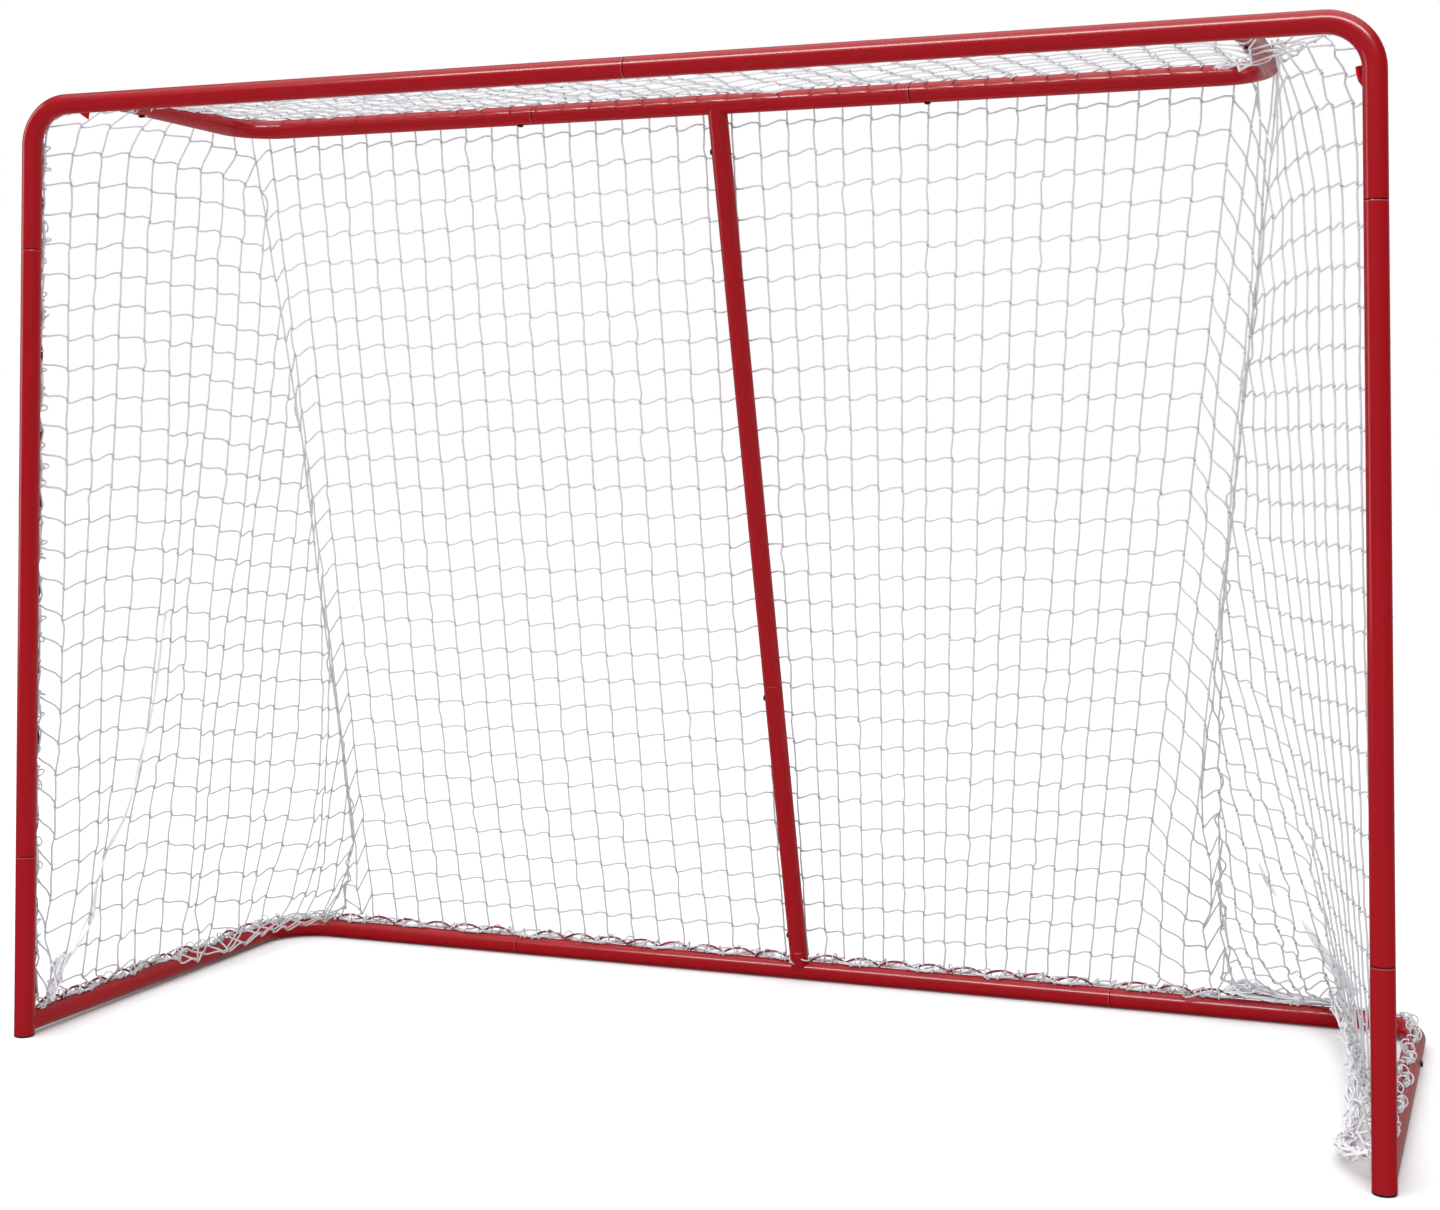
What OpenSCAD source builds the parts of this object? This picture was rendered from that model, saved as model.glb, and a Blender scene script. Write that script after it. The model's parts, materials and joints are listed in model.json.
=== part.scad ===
// Hockey goal: a push-together frame of round steel tube with a laced net.
// X runs across the mouth, Y from the mouth to the back, Z up from the floor.

/* [Goal size] */
// Clear width between the posts
mouth_w = 1600; // [1400:5:1800]
// Clear height under the top bar
mouth_h = 1150; // [1050:5:1250]
// Depth of the base, from the axis of the posts to the axis of the rear bar
base_depth = 615; // [560:5:700]
// Depth of the top shelf, from the axis of the front bar to that of the rear bar
shelf_depth = 290; // [240:5:340]
// Distance from the axis of a post to the axis of the shelf arm beside it
arm_inset = 130; // [110:5:160]
// Height of the side rail's axis where it is welded to the post
rail_h = 16.5; // [15:0.5:20]

/* [Tube] */
// Outer diameter of the frame tube
tube_d = 25; // [22:0.5:28]
// Wall of the frame tube
tube_wall = 1.5; // [1.2:0.1:2]
// Bend radius of the front frame's top corners, on the axis
top_bend_r = 50; // [45:5:95]
// Bend radius of the shelf's rear corners, on the axis
shelf_bend_r = 60; // [45:5:75]
// Bend radius of the base's rear corners, on the axis
base_bend_r = 75; // [60:5:95]

/* [Tube joints] */
// Height of the joint in the upper part of a post
leg_seam_h = 981; // [930:1:1000]
// Height of the joint in the lower part of a post
foot_seam_h = 223; // [190:1:260]
// Distance along a side rail from the post's axis to its joint
rail_seam = 413; // [380:1:440]
// Half the length of the rear piece of the base that carries the centre post
base_tee_half = 429; // [380:1:460]
// Half the length of the rear piece of the shelf that carries the centre post
shelf_tee_half = 252; // [220:1:290]
// Length of the arm stubs, from the front bar's axis to the joint
arm_stub = 25.6; // [22:0.2:32]
// Length of the centre post's upper stub, from the bar's axis to the joint
top_stub = 39; // [34:1:46]
// Length of the centre post's lower stub, from the bar's axis to the joint
base_stub = 31; // [26:1:38]
// Distance along the centre post from the rear top bar's axis to the middle joint
mid_seam = 775; // [650:5:850]
// Length of the reduced end that plugs into the next tube
plug_len = 45; // [38:1:50]
// Radial clearance between a reduced end and the bore around it
plug_clear = 0.1; // [0.05:0.05:0.2]
// Radius of the shoulder where a tube is reduced
shoulder_r = 1; // [0.6:0.1:1.2]
// Bevel on the edge of an open tube end
edge_bevel = 0.4; // [0.2:0.1:0.6]
// Length over which the bore narrows into a reduced end
neck_len = 5; // [4:1:8]
// How much smaller in radius a welded tube is than the tube that it meets
weld_step = 0.05; // [0.05:0.05:0.2]

/* [Screws] */
// Distance from a joint to its screw
screw_back = 20.5; // [16:0.5:22]
// Diameter of the screw's head
screw_head_d = 8; // [7:0.5:9]
// Height of the screw's head
screw_head_h = 2.4; // [1.8:0.2:3]
// Diameter of the screw's shank
screw_d = 4; // [3.5:0.5:5]
// Length of the screw under its head
screw_len = 9; // [8:0.5:10]
// Radial clearance round the shank
screw_clear = 0.15; // [0.1:0.05:0.3]

/* [Feet] */
// Thickness of the foot cap's flange under the post
cap_t = 2.5; // [2:0.5:4]
// Rounding of the foot cap's lower edge
cap_round = 1.5; // [1:0.25:1.75]
// Height of the foot cap's plug inside the post
cap_plug = 18; // [12:1:25]
// Wall of the foot cap's plug
cap_wall = 2; // [1.5:0.5:3]

/* [Lacing rods] */
// Diameter of the bent wire that is welded to the tubes
wire_d = 3; // [2.5:0.5:3.5]
// Distance from one weld of the wire to the next
wire_pitch = 48.5; // [42:0.5:54]
// Height of the wire's arches
wire_rise = 8; // [6:0.5:10]
// How far the weld beads at the arches' feet stand out round the wire
weld_gap = 0.2; // [0.15:0.05:0.3]
// Gap left between a weld bead and the tube
wire_lift = 0.05; // [0.02:0.01:0.1]

/* [Net] */
// Thickness of the net's cords
cord_d = 2.6; // [2:0.2:3]
// Diameter of the border cord
border_d = 4; // [3.5:0.25:4.5]
// Gap between a resting piece of the net and the metal under it
seat = 0.3; // [0.2:0.1:0.5]
// Gaps across the back of the net
back_cols = 14; // [10:1:14]
// Gaps up the back of the net
back_rows = 11; // [8:1:11]
// Gaps from front to back in the top of the net
top_rows = 3; // [2:1:3]
// Gaps from front to back in a side of the net
side_cols = 5; // [4:1:5]
// Gaps up a side of the net
side_rows = 10; // [8:1:10]
// Thickness of the red tabs at the net's top corners
tab_t = 3; // [2:0.5:4]
// Length of the red tabs
tab_len = 24; // [18:1:30]
// Distance of the left tab from its bend, along the bar
tab_inset = 16; // [0:1:40]
// Distance of the right tab below its bend
tab_drop = 5; // [0:1:40]

/* [Hidden] */
$fn = 48;

red = "#b5202a";
dark_red = "#7c1a20";
black = "#26262a";
steel = "#55565c";
net_white = "#e6e4e6";

tube_r = tube_d / 2;
bore_r = tube_r - tube_wall;
plug_r = bore_r - plug_clear;
plug_bore_r = plug_r - tube_wall;
weld_r = tube_r - weld_step;
cut_over = 1;
plug_bevel = 1;

post_x = (mouth_w + tube_d) / 2;
top_z = mouth_h + tube_r;
arm_x = post_x - arm_inset;

// The base lies in a plane that falls from the posts to the floor at the rear bar.
rail_drop = rail_h - tube_r;
base_tilt = asin(rail_drop / base_depth);
base_len = base_depth / cos(base_tilt);

// The origin is under the middle of the whole goal, from the posts' front to the net's back.
post_y = -(base_depth + screw_head_h) / 2;
rear_y = post_y + base_depth;
shelf_y = post_y + shelf_depth;

// The centre post leans back from the shelf's rear bar to the base's rear bar.
lean_rise = top_z - tube_r;
lean_run = base_depth - shelf_depth;
post_len = norm([lean_run, lean_rise]);
lean = atan2(lean_run, lean_rise);

wire_r = wire_d / 2;
cord_r = cord_d / 2;
border_r = border_d / 2;
wire_seat = tube_r + weld_gap + wire_r;
rod_top = wire_seat + wire_rise + wire_r;
arch_angle = 2 * atan(2 * wire_rise / wire_pitch);
arch_r = wire_pitch / 2 / sin(arch_angle);

// The border cord lies on the tube beside the lacing rod, clear of the screws' heads.
border_side = screw_head_d / 2 + seat + border_r;
border_out = sqrt(pow(tube_r + seat + border_r, 2) - pow(border_side, 2));

// ---------------------------------------------------------------- tube profiles

// Outline of a tube end: radius and height over the joint's plane
function end_outline(r, plug) = plug
    ? concat(
        [for (a = [0:30:90]) [r - shoulder_r + shoulder_r * cos(a), shoulder_r * (sin(a) - 1)]],
        [[plug_r, 0], [plug_r, plug_len - plug_bevel], [plug_r - plug_bevel, plug_len]])
    : [[r, -edge_bevel], [r - edge_bevel, 0]];

// Outline of the bore at a tube end
function end_bore(plug) = plug
    ? [[bore_r, -neck_len], [plug_bore_r, 0], [plug_bore_r, plug_len + cut_over]]
    : [[bore_r, cut_over]];

function flipped(pts) = [for (i = [len(pts) - 1:-1:0]) [pts[i].x, -pts[i].y]];
function lifted(pts, h) = [for (p = pts) [p.x, p.y + h]];
function closed_on_axis(pts) = concat([[0, pts[0].y]], pts, [[0, pts[len(pts) - 1].y]]);

// Solid run of tube along +Z, from a plain start to a finished end
module run(length, r = tube_r, plug = false) {
    rotate_extrude() polygon(closed_on_axis(concat([[r, 0]], lifted(end_outline(r, plug), length))));
}

// Bore of the same run
module run_bore(length, start = 0, plug = false) {
    rotate_extrude() polygon(closed_on_axis(concat([[bore_r, start]], lifted(end_bore(plug), length))));
}

// Straight hollow tube along +Z with both ends finished
module straight_tube(length, plug_start, plug_end, r = tube_r) {
    rotate_extrude() difference() {
        polygon(closed_on_axis(concat(
            flipped(end_outline(r, plug_start)), lifted(end_outline(r, plug_end), length))));
        polygon(closed_on_axis(concat(
            flipped(end_bore(plug_start)), lifted(end_bore(plug_end), length))));
    }
}

// Quarter bend in the XY plane round the origin, from +X to +Y
module quarter(bend_r, r) {
    rotate_extrude(angle = 90) translate([bend_r, 0]) circle(r);
}

module side(s) {
    mirror([s < 0 ? 1 : 0, 0, 0]) children();
}

// ---------------------------------------------------------------- frames of reference

module at_shelf_rear() { translate([0, shelf_y, top_z]) children(); }

// The plane of the base, with its own Y along the side rails
module in_base() { translate([0, post_y, rail_h]) rotate([-base_tilt, 0, 0]) children(); }

// Along the centre post: +Z runs down the post from the rear top bar's axis
module down_centre_post() { at_shelf_rear() rotate([180 + lean, 0, 0]) children(); }

// ---------------------------------------------------------------- screws

// Screw with its tube's axis on Z = 0 and its head pointing along +Z
module screw() {
    under = tube_r + seat / 6;
    head_r = screw_head_d / 2;
    difference() {
        union() {
            translate([0, 0, under]) rotate_extrude() polygon(concat(
                [[0, 0], [head_r, 0]],
                [for (a = [15:25:90]) [head_r * cos(a), screw_head_h * (0.35 + 0.65 * sin(a))]],
                [[0, screw_head_h]]));
            translate([0, 0, under - screw_len]) cylinder(h = screw_len + 0.5, d = screw_d);
        }
        translate([0, 0, under + screw_head_h / 2]) cylinder(h = screw_head_h, r = screw_d / 2.6, $fn = 6);
    }
}

module screw_hole() {
    cylinder(h = tube_r + cut_over, r = screw_d / 2 + screw_clear);
}

// One module per kind of joint, each on the +X side or in the middle
module at_bar_screw() { translate([-screw_back, post_y, top_z]) rotate([-90, 0, 0]) children(); }
module at_leg_screw() {
    translate([post_x, post_y, leg_seam_h + screw_back]) rotate([-90, 0, 0]) children();
}
module at_foot_screw() {
    translate([post_x, post_y, foot_seam_h - screw_back]) rotate([-90, 0, 0]) children();
}
module at_arm_screw() {
    translate([arm_x, post_y + arm_stub + screw_back, top_z]) rotate([180, 0, 0]) children();
}
module at_shelf_screw() {
    translate([shelf_tee_half + screw_back, shelf_y, top_z]) rotate([180, 0, 0]) children();
}
module at_rail_screw() {
    in_base() translate([post_x, rail_seam + screw_back, 0]) rotate([0, 90, 0]) children();
}
module at_rear_screw() {
    in_base() translate([base_tee_half + screw_back, base_len, 0]) rotate([-90, 0, 0]) children();
}
module at_post_screw(along) { down_centre_post() translate([0, 0, along]) rotate([0, -90, 0]) children(); }

post_screws = [top_stub + screw_back, mid_seam + screw_back, post_len - base_stub - screw_back];

module frame_screws() {
    color(black) {
        at_bar_screw() screw();
        for (along = post_screws) at_post_screw(along) screw();
        for (s = [-1, 1]) side(s) {
            at_leg_screw() screw();
            at_foot_screw() screw();
            at_arm_screw() screw();
            at_shelf_screw() screw();
            at_rail_screw() screw();
            at_rear_screw() screw();
        }
    }
}

// ---------------------------------------------------------------- front frame

// Half of the top bar with a rounded corner, a short leg and the stub of the shelf arm
module top_tube(plug_at_middle) {
    bar = post_x - top_bend_r;
    leg = top_z - top_bend_r - leg_seam_h;
    difference() {
        union() {
            translate([bar, post_y, top_z]) rotate([0, -90, 0]) run(bar, plug = plug_at_middle);
            translate([bar, post_y, top_z - top_bend_r]) rotate([90, 0, 0]) quarter(top_bend_r, tube_r);
            translate([post_x, post_y, top_z - top_bend_r]) rotate([180, 0, 0]) run(leg);
            translate([arm_x, post_y, top_z]) rotate([-90, 0, 0]) run(arm_stub, weld_r, true);
        }
        translate([bar, post_y, top_z]) rotate([0, -90, 0]) run_bore(bar, plug = plug_at_middle);
        translate([bar, post_y, top_z - top_bend_r]) rotate([90, 0, 0]) quarter(top_bend_r, bore_r);
        translate([post_x, post_y, top_z - top_bend_r]) rotate([180, 0, 0]) run_bore(leg);
        translate([arm_x, post_y, top_z]) rotate([-90, 0, 0]) run_bore(arm_stub, tube_r, true);
        at_leg_screw() screw_hole();
        at_arm_screw() screw_hole();
    }
}

module top_tube_left() {
    color(red) difference() {
        side(-1) top_tube(false);
        at_bar_screw() screw_hole();
    }
}

module top_tube_right() {
    color(red) difference() {
        top_tube(true);
        at_bar_screw() screw_hole();
    }
}

// Straight middle of a post, reduced at both ends
module post_tube() {
    color(red) difference() {
        translate([post_x, post_y, foot_seam_h]) straight_tube(leg_seam_h - foot_seam_h, true, true);
        at_leg_screw() screw_hole();
        at_foot_screw() screw_hole();
    }
}

// Foot of a post with the side rail welded to its back
module base_tube() {
    post = foot_seam_h - cap_t;
    color(red) difference() {
        union() {
            translate([post_x, post_y, cap_t]) run(post);
            in_base() translate([post_x, 0, 0]) rotate([-90, 0, 0]) run(rail_seam, weld_r, true);
        }
        translate([post_x, post_y, cap_t]) run_bore(post, -cut_over);
        in_base() translate([post_x, 0, 0]) rotate([-90, 0, 0]) run_bore(rail_seam, tube_r, true);
        at_foot_screw() screw_hole();
        at_rail_screw() screw_hole();
    }
}

// Cap that closes the bottom of a post: a flange under it and a hollow plug inside
module foot_cap() {
    flange = concat(
        [[0, 0]],
        [for (a = [-90:30:0]) [tube_r - cap_round + cap_round * cos(a), cap_round * (1 + sin(a))]],
        [[tube_r, cap_t], [plug_r, cap_t], [plug_r, cap_t + cap_plug],
         [plug_r - cap_wall, cap_t + cap_plug], [plug_r - cap_wall, cap_t], [0, cap_t]]);
    color(black) translate([post_x, post_y, 0]) rotate_extrude() polygon(flange);
}

// ---------------------------------------------------------------- base

// Rear corner of the base, open at both ends
module base_corner() {
    rail = base_len - base_bend_r - rail_seam;
    rear = post_x - base_bend_r - base_tee_half;
    bend_at = [post_x - base_bend_r, base_len - base_bend_r, 0];
    color(red) difference() {
        in_base() union() {
            translate([post_x, bend_at.y, 0]) rotate([90, 0, 0]) run(rail);
            translate(bend_at) quarter(base_bend_r, tube_r);
            translate([bend_at.x, base_len, 0]) rotate([0, -90, 0]) run(rear);
        }
        in_base() {
            translate([post_x, bend_at.y, 0]) rotate([90, 0, 0]) run_bore(rail);
            translate(bend_at) quarter(base_bend_r, bore_r);
            translate([bend_at.x, base_len, 0]) rotate([0, -90, 0]) run_bore(rear);
        }
        at_rail_screw() screw_hole();
        at_rear_screw() screw_hole();
    }
}

// Middle of the base's rear bar with the stub that carries the centre post
module base_tee() {
    color(red) difference() {
        union() {
            translate([0, rear_y, tube_r]) rotate([0, 90, 0])
                for (s = [0, 180]) rotate([s, 0, 0]) run(base_tee_half, plug = true);
            down_centre_post() translate([0, 0, post_len]) rotate([180, 0, 0]) run(base_stub, weld_r, true);
        }
        translate([0, rear_y, tube_r]) rotate([0, 90, 0])
            for (s = [0, 180]) rotate([s, 0, 0]) run_bore(base_tee_half, plug = true);
        down_centre_post() translate([0, 0, post_len])
            rotate([180, 0, 0]) run_bore(base_stub, tube_r, true);
        for (s = [-1, 1]) side(s) at_rear_screw() screw_hole();
        at_post_screw(post_screws[2]) screw_hole();
    }
}

// ---------------------------------------------------------------- shelf and centre post

// Arm of the shelf: straight back from the front bar, round the corner and along the rear
module shelf_arm() {
    arm = shelf_depth - shelf_bend_r - arm_stub;
    rear = arm_x - shelf_bend_r - shelf_tee_half;
    bend_at = [arm_x - shelf_bend_r, shelf_y - shelf_bend_r, top_z];
    color(red) difference() {
        union() {
            translate([arm_x, bend_at.y, top_z]) rotate([90, 0, 0]) run(arm);
            translate(bend_at) quarter(shelf_bend_r, tube_r);
            translate([bend_at.x, shelf_y, top_z]) rotate([0, -90, 0]) run(rear);
        }
        translate([arm_x, bend_at.y, top_z]) rotate([90, 0, 0]) run_bore(arm);
        translate(bend_at) quarter(shelf_bend_r, bore_r);
        translate([bend_at.x, shelf_y, top_z]) rotate([0, -90, 0]) run_bore(rear);
        at_arm_screw() screw_hole();
        at_shelf_screw() screw_hole();
    }
}

// Middle of the shelf's rear bar with the stub that the centre post hangs from
module shelf_tee() {
    color(red) difference() {
        union() {
            at_shelf_rear() rotate([0, 90, 0])
                for (s = [0, 180]) rotate([s, 0, 0]) run(shelf_tee_half, plug = true);
            down_centre_post() run(top_stub, weld_r, true);
        }
        at_shelf_rear() rotate([0, 90, 0])
            for (s = [0, 180]) rotate([s, 0, 0]) run_bore(shelf_tee_half, plug = true);
        down_centre_post() run_bore(top_stub, tube_r, true);
        for (s = [-1, 1]) side(s) at_shelf_screw() screw_hole();
        at_post_screw(post_screws[0]) screw_hole();
    }
}

module centre_post_upper() {
    color(red) difference() {
        down_centre_post() translate([0, 0, top_stub])
            straight_tube(mid_seam - top_stub, false, true, weld_r);
        at_post_screw(post_screws[0]) screw_hole();
        at_post_screw(post_screws[1]) screw_hole();
    }
}

module centre_post_lower() {
    color(red) difference() {
        down_centre_post() translate([0, 0, mid_seam])
            straight_tube(post_len - base_stub - mid_seam, false, false, weld_r);
        at_post_screw(post_screws[1]) screw_hole();
        at_post_screw(post_screws[2]) screw_hole();
    }
}

// ---------------------------------------------------------------- lacing rods

// Row of wire arches along +X: their feet are on Z = 0, joined by weld beads
module lacing_rod(arches) {
    color(dark_red) union() {
        for (i = [0:arches - 1])
            translate([(i + 0.5) * wire_pitch, 0, wire_rise - arch_r]) rotate([90, 0, 0])
                rotate([0, 0, 90 - arch_angle]) rotate_extrude(angle = 2 * arch_angle)
                    translate([arch_r, 0]) circle(wire_r, $fn = 16);
        for (i = [0:arches])
            translate([i * wire_pitch, 0, 0]) sphere(wire_r + weld_gap - wire_lift, $fn = 16);
    }
}

// How many arches fit between two places on a tube
function arches_in(from, to) = floor((to - from) / wire_pitch);

// The rods stop short of joints, screws and other tubes by this much
rod_margin = screw_back + screw_head_d;

module lacing_rod_top() {
    n = arches_in(rod_margin, arm_x - tube_r - rod_margin);
    for (s = [-1, 1]) side(s)
        translate([rod_margin + wire_r, post_y + wire_seat, top_z]) rotate([-90, 0, 0]) lacing_rod(n);
}

// Rods on the back of a post: on its foot, its middle and its top end
module lacing_rod_post() {
    foot_from = rail_h + tube_r + border_d;
    foot_n = arches_in(foot_from, foot_seam_h - rod_margin);
    mid_from = foot_seam_h + screw_back;
    mid_n = arches_in(mid_from, leg_seam_h - screw_back);
    top_from = leg_seam_h + rod_margin;
    top_n = arches_in(top_from, top_z - top_bend_r);
    translate([post_x, post_y + wire_seat, foot_from]) rotate([-90, -90, 0]) lacing_rod(foot_n);
    translate([post_x, post_y + wire_seat, mid_from]) rotate([-90, -90, 0]) lacing_rod(mid_n);
    translate([post_x, post_y + wire_seat, top_from]) rotate([-90, -90, 0]) lacing_rod(top_n);
}

// Rods on top of a side rail and of the corner piece behind it
module lacing_rod_side() {
    rail_from = rod_top;
    rail_n = arches_in(rail_from, rail_seam - wire_d);
    corner_from = rail_seam + screw_back / 2;
    corner_n = arches_in(corner_from, base_len - base_bend_r);
    in_base() translate([post_x, rail_from, wire_seat]) rotate([0, 0, 90]) lacing_rod(rail_n);
    in_base() translate([post_x, corner_from, wire_seat]) rotate([0, 0, 90]) lacing_rod(corner_n);
}

// Rods on top of the base's rear bar: one each side on the tee and on the corner piece
module lacing_rod_rear() {
    tee_from = tube_r + border_d;
    tee_n = arches_in(tee_from, base_tee_half - wire_d);
    corner_from = base_tee_half + screw_back / 2;
    corner_n = arches_in(corner_from, post_x - base_bend_r);
    for (s = [-1, 1]) side(s) {
        in_base() translate([tee_from, base_len, wire_seat]) lacing_rod(tee_n);
        in_base() translate([corner_from, base_len, wire_seat]) lacing_rod(corner_n);
    }
}

// ---------------------------------------------------------------- net

function mix(a, b, t) = a + (b - a) * t;

// Plane net with knots at [x, y], row by row: the first and last row are straight
module flat_net(knots) {
    rows = len(knots) - 1;
    cols = len(knots[0]) - 1;
    function across(i, j, u) = mix(knots[j][i], knots[j][i + 1], u);
    function in_gap(i, j, u, v) = mix(across(i, j, u), across(i, j + 1, u), v);
    linear_extrude(cord_d) difference() {
        polygon(concat(
            [knots[0][0] + [-cord_r, -cord_r], knots[0][cols] + [cord_r, -cord_r]],
            [for (j = [1:rows - 1]) knots[j][cols] + [cord_r, 0]],
            [knots[rows][cols] + [cord_r, cord_r], knots[rows][0] + [-cord_r, cord_r]],
            [for (j = [rows - 1:-1:1]) knots[j][0] - [cord_r, 0]]));
        for (j = [0:rows - 1], i = [0:cols - 1]) {
            du = cord_r / norm(knots[j][i + 1] - knots[j][i]);
            dv = cord_r / abs(knots[j + 1][i].y - knots[j][i].y);
            polygon([in_gap(i, j, du, dv), in_gap(i, j, 1 - du, dv),
                     in_gap(i, j, 1 - du, 1 - dv), in_gap(i, j, du, 1 - dv)]);
        }
    }
}

// Net through rows of knots in space. Every cord is square in section, set to the directions a, b, a x b.
// A knot is a cube whose corners 0 to 3 go round its near face and 4 to 7 round its far one.
module curved_net(knots, a, b) {
    n = cross(a, b);
    rows = len(knots) - 1;
    cols = len(knots[0]) - 1;
    corners = [for (w = [-1, 1], q = [[-1, -1], [1, -1], [1, 1], [-1, 1]])
        cord_r * (q.x * a + q.y * b + w * n)];
    points = [for (line = knots, knot = line, corner = corners) knot + corner];
    // Corners c of knot (i, j), and corners d of the knot beside it or above it
    function own(i, j, c) = [for (q = c) 8 * (j * (cols + 1) + i) + q];
    function wall(i, j, c, i2, j2, d) = concat(own(i, j, c), own(i2, j2, d));
    faces = [for (j = [0:rows], i = [0:cols]) each concat(
        [own(i, j, [0, 1, 2, 3]), own(i, j, [7, 6, 5, 4])],
        i == 0 ? [own(i, j, [0, 3, 7, 4])] : [],
        j == 0 ? [own(i, j, [0, 4, 5, 1])] : [],
        i == cols ? [own(i, j, [1, 5, 6, 2])] : [
            wall(i, j, [1, 5], i + 1, j, [4, 0]), wall(i, j, [6, 2], i + 1, j, [3, 7]),
            wall(i, j, [5, 6], i + 1, j, [7, 4]), wall(i, j, [2, 1], i + 1, j, [0, 3])],
        j == rows ? [own(i, j, [2, 6, 7, 3])] : [
            wall(i, j, [7, 3], i, j + 1, [0, 4]), wall(i, j, [2, 6], i, j + 1, [5, 1]),
            wall(i, j, [6, 7], i, j + 1, [4, 5]), wall(i, j, [3, 2], i, j + 1, [1, 0])])];
    polyhedron(points, [for (f = faces) each [[f[0], f[1], f[2]], [f[0], f[2], f[3]]]]);
}

// The back lies on a plane that touches both rear bars and the centre post from behind. Its edges are creases.
// Each stop: share of the way down, inset from the posts' axis over the arms' inset
crease_ratios = [[0, 1], [0.87, 0.97], [1, 0.75]];
back_foot_s = post_len - tube_r;
function crease_x(s) = post_x - arm_inset * lookup(s / back_foot_s, crease_ratios);
module in_back_plane() {
    down_centre_post() rotate([90, 0, 0]) translate([0, 0, tube_r + seat]) children();
}

// A point in front of the back plane, at a distance down its edge and near its inner face
function back_point(x, s, out) = [
    x,
    shelf_y + s * sin(lean) + out * cos(lean),
    top_z - s * cos(lean) + out * sin(lean)];
edge_out = tube_r - cord_r * (sin(lean) + cos(lean));
top_edge_s = tube_r / 2;
low_edge_s = post_len - rod_top - seat - cord_d;

module net_back() {
    knots = [for (j = [0:back_rows]) let (s = j / back_rows * back_foot_s)
        [for (i = [0:back_cols]) [mix(-1, 1, i / back_cols) * crease_x(s), s]]];
    color(net_white) in_back_plane() flat_net(knots);
}

// The top lies on the front bar, the arms and the rear bar
module net_top() {
    front_half = post_x - top_bend_r + cord_d;
    rear_half = arm_x - cord_d * 4;
    top_cols = back_cols - 1;
    knots = [for (j = [0:top_rows]) [for (i = [0:top_cols])
        [mix(-1, 1, i / top_cols) * mix(front_half, rear_half, j / top_rows),
         mix(cord_d, shelf_depth + cord_r, j / top_rows)]]];
    color(net_white) translate([0, post_y, top_z + tube_r + seat]) flat_net(knots);
}

// A side hangs between the post, the rail, the crease and a line along the arm. Its knots blend these lines.
side_front_y = post_y + rod_top + seat + cord_r;
side_low_z = rail_h + rod_top + seat + cord_r;
module net_side() {
    function at_crease(v) = let (s = mix(low_edge_s, top_edge_s, v)) back_point(crease_x(s), s, edge_out);
    post_top = [post_x - cord_d * 2.5, side_front_y, top_z - top_bend_r / 2];
    post_foot = [post_x, side_front_y, side_low_z];
    rail_end = [post_x, rear_y - base_bend_r, side_low_z];
    function on_post(v) = mix(post_foot, post_top, v);
    function on_rail(u) = u < 0.8
        ? mix(post_foot, rail_end, u / 0.8)
        : mix(rail_end, at_crease(0), (u - 0.8) / 0.2);
    function on_arm(u) = mix(post_top, at_crease(1), u);
    function blend(u, v) = mix(on_post(v), at_crease(v), u) + mix(on_rail(u), on_arm(u), v)
        - mix(mix(post_foot, at_crease(0), u), mix(post_top, at_crease(1), u), v);
    knots = [for (j = [0:side_rows]) [for (i = [0:side_cols]) blend(i / side_cols, j / side_rows)]];
    color(net_white) curved_net(knots, [0, 1, 0], [0, 0, 1]);
}

// ---------------------------------------------------------------- border cord and trim

module border_cord_top() {
    reach = arm_x - tube_r - cord_d;
    color(net_white) translate([-reach, post_y + border_out, top_z - border_side])
        rotate([0, 90, 0]) cylinder(h = 2 * reach, r = border_r, $fn = 24);
}

module border_cord_post() {
    from = rail_h + rod_top;
    color(net_white) translate([post_x + border_side, post_y + border_out, from])
        cylinder(h = top_z - top_bend_r - from, r = border_r, $fn = 24);
}

// One cord along both side rails and the rear bar, outside the lacing rods
module border_cord_base() {
    bend = base_bend_r + border_side;
    straight = base_len - base_bend_r;
    start = tube_r + border_d;
    color(net_white) in_base() translate([0, 0, border_out]) union() {
        for (s = [-1, 1]) side(s) {
            translate([post_x + border_side, start, 0]) rotate([-90, 0, 0])
                cylinder(h = straight - start, r = border_r, $fn = 24);
            translate([post_x - base_bend_r, straight, 0]) rotate_extrude(angle = 90)
                translate([bend, 0]) circle(border_r, $fn = 24);
        }
        translate([-(post_x - base_bend_r), base_len + border_side, 0]) rotate([0, 90, 0])
            cylinder(h = 2 * (post_x - base_bend_r), r = border_r, $fn = 24);
    }
}

// Folded tab sewn to the net behind a top bend, at an angle round the bend and a distance on along the tube
module corner_tab(angle, along) {
    inner = top_bend_r - tube_r - tab_t;
    color("#c8102a") translate([post_x - top_bend_r, post_y + tube_r + seat + tab_t, top_z - top_bend_r])
        rotate([90, 0, 0]) rotate([0, 0, angle]) translate([inner, along - tab_len / 2, 0])
            linear_extrude(tab_t)
                polygon([[0, 0], [tube_r, tab_len * 0.1], [tube_r, tab_len * 0.9], [4, tab_len]]);
}

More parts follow.
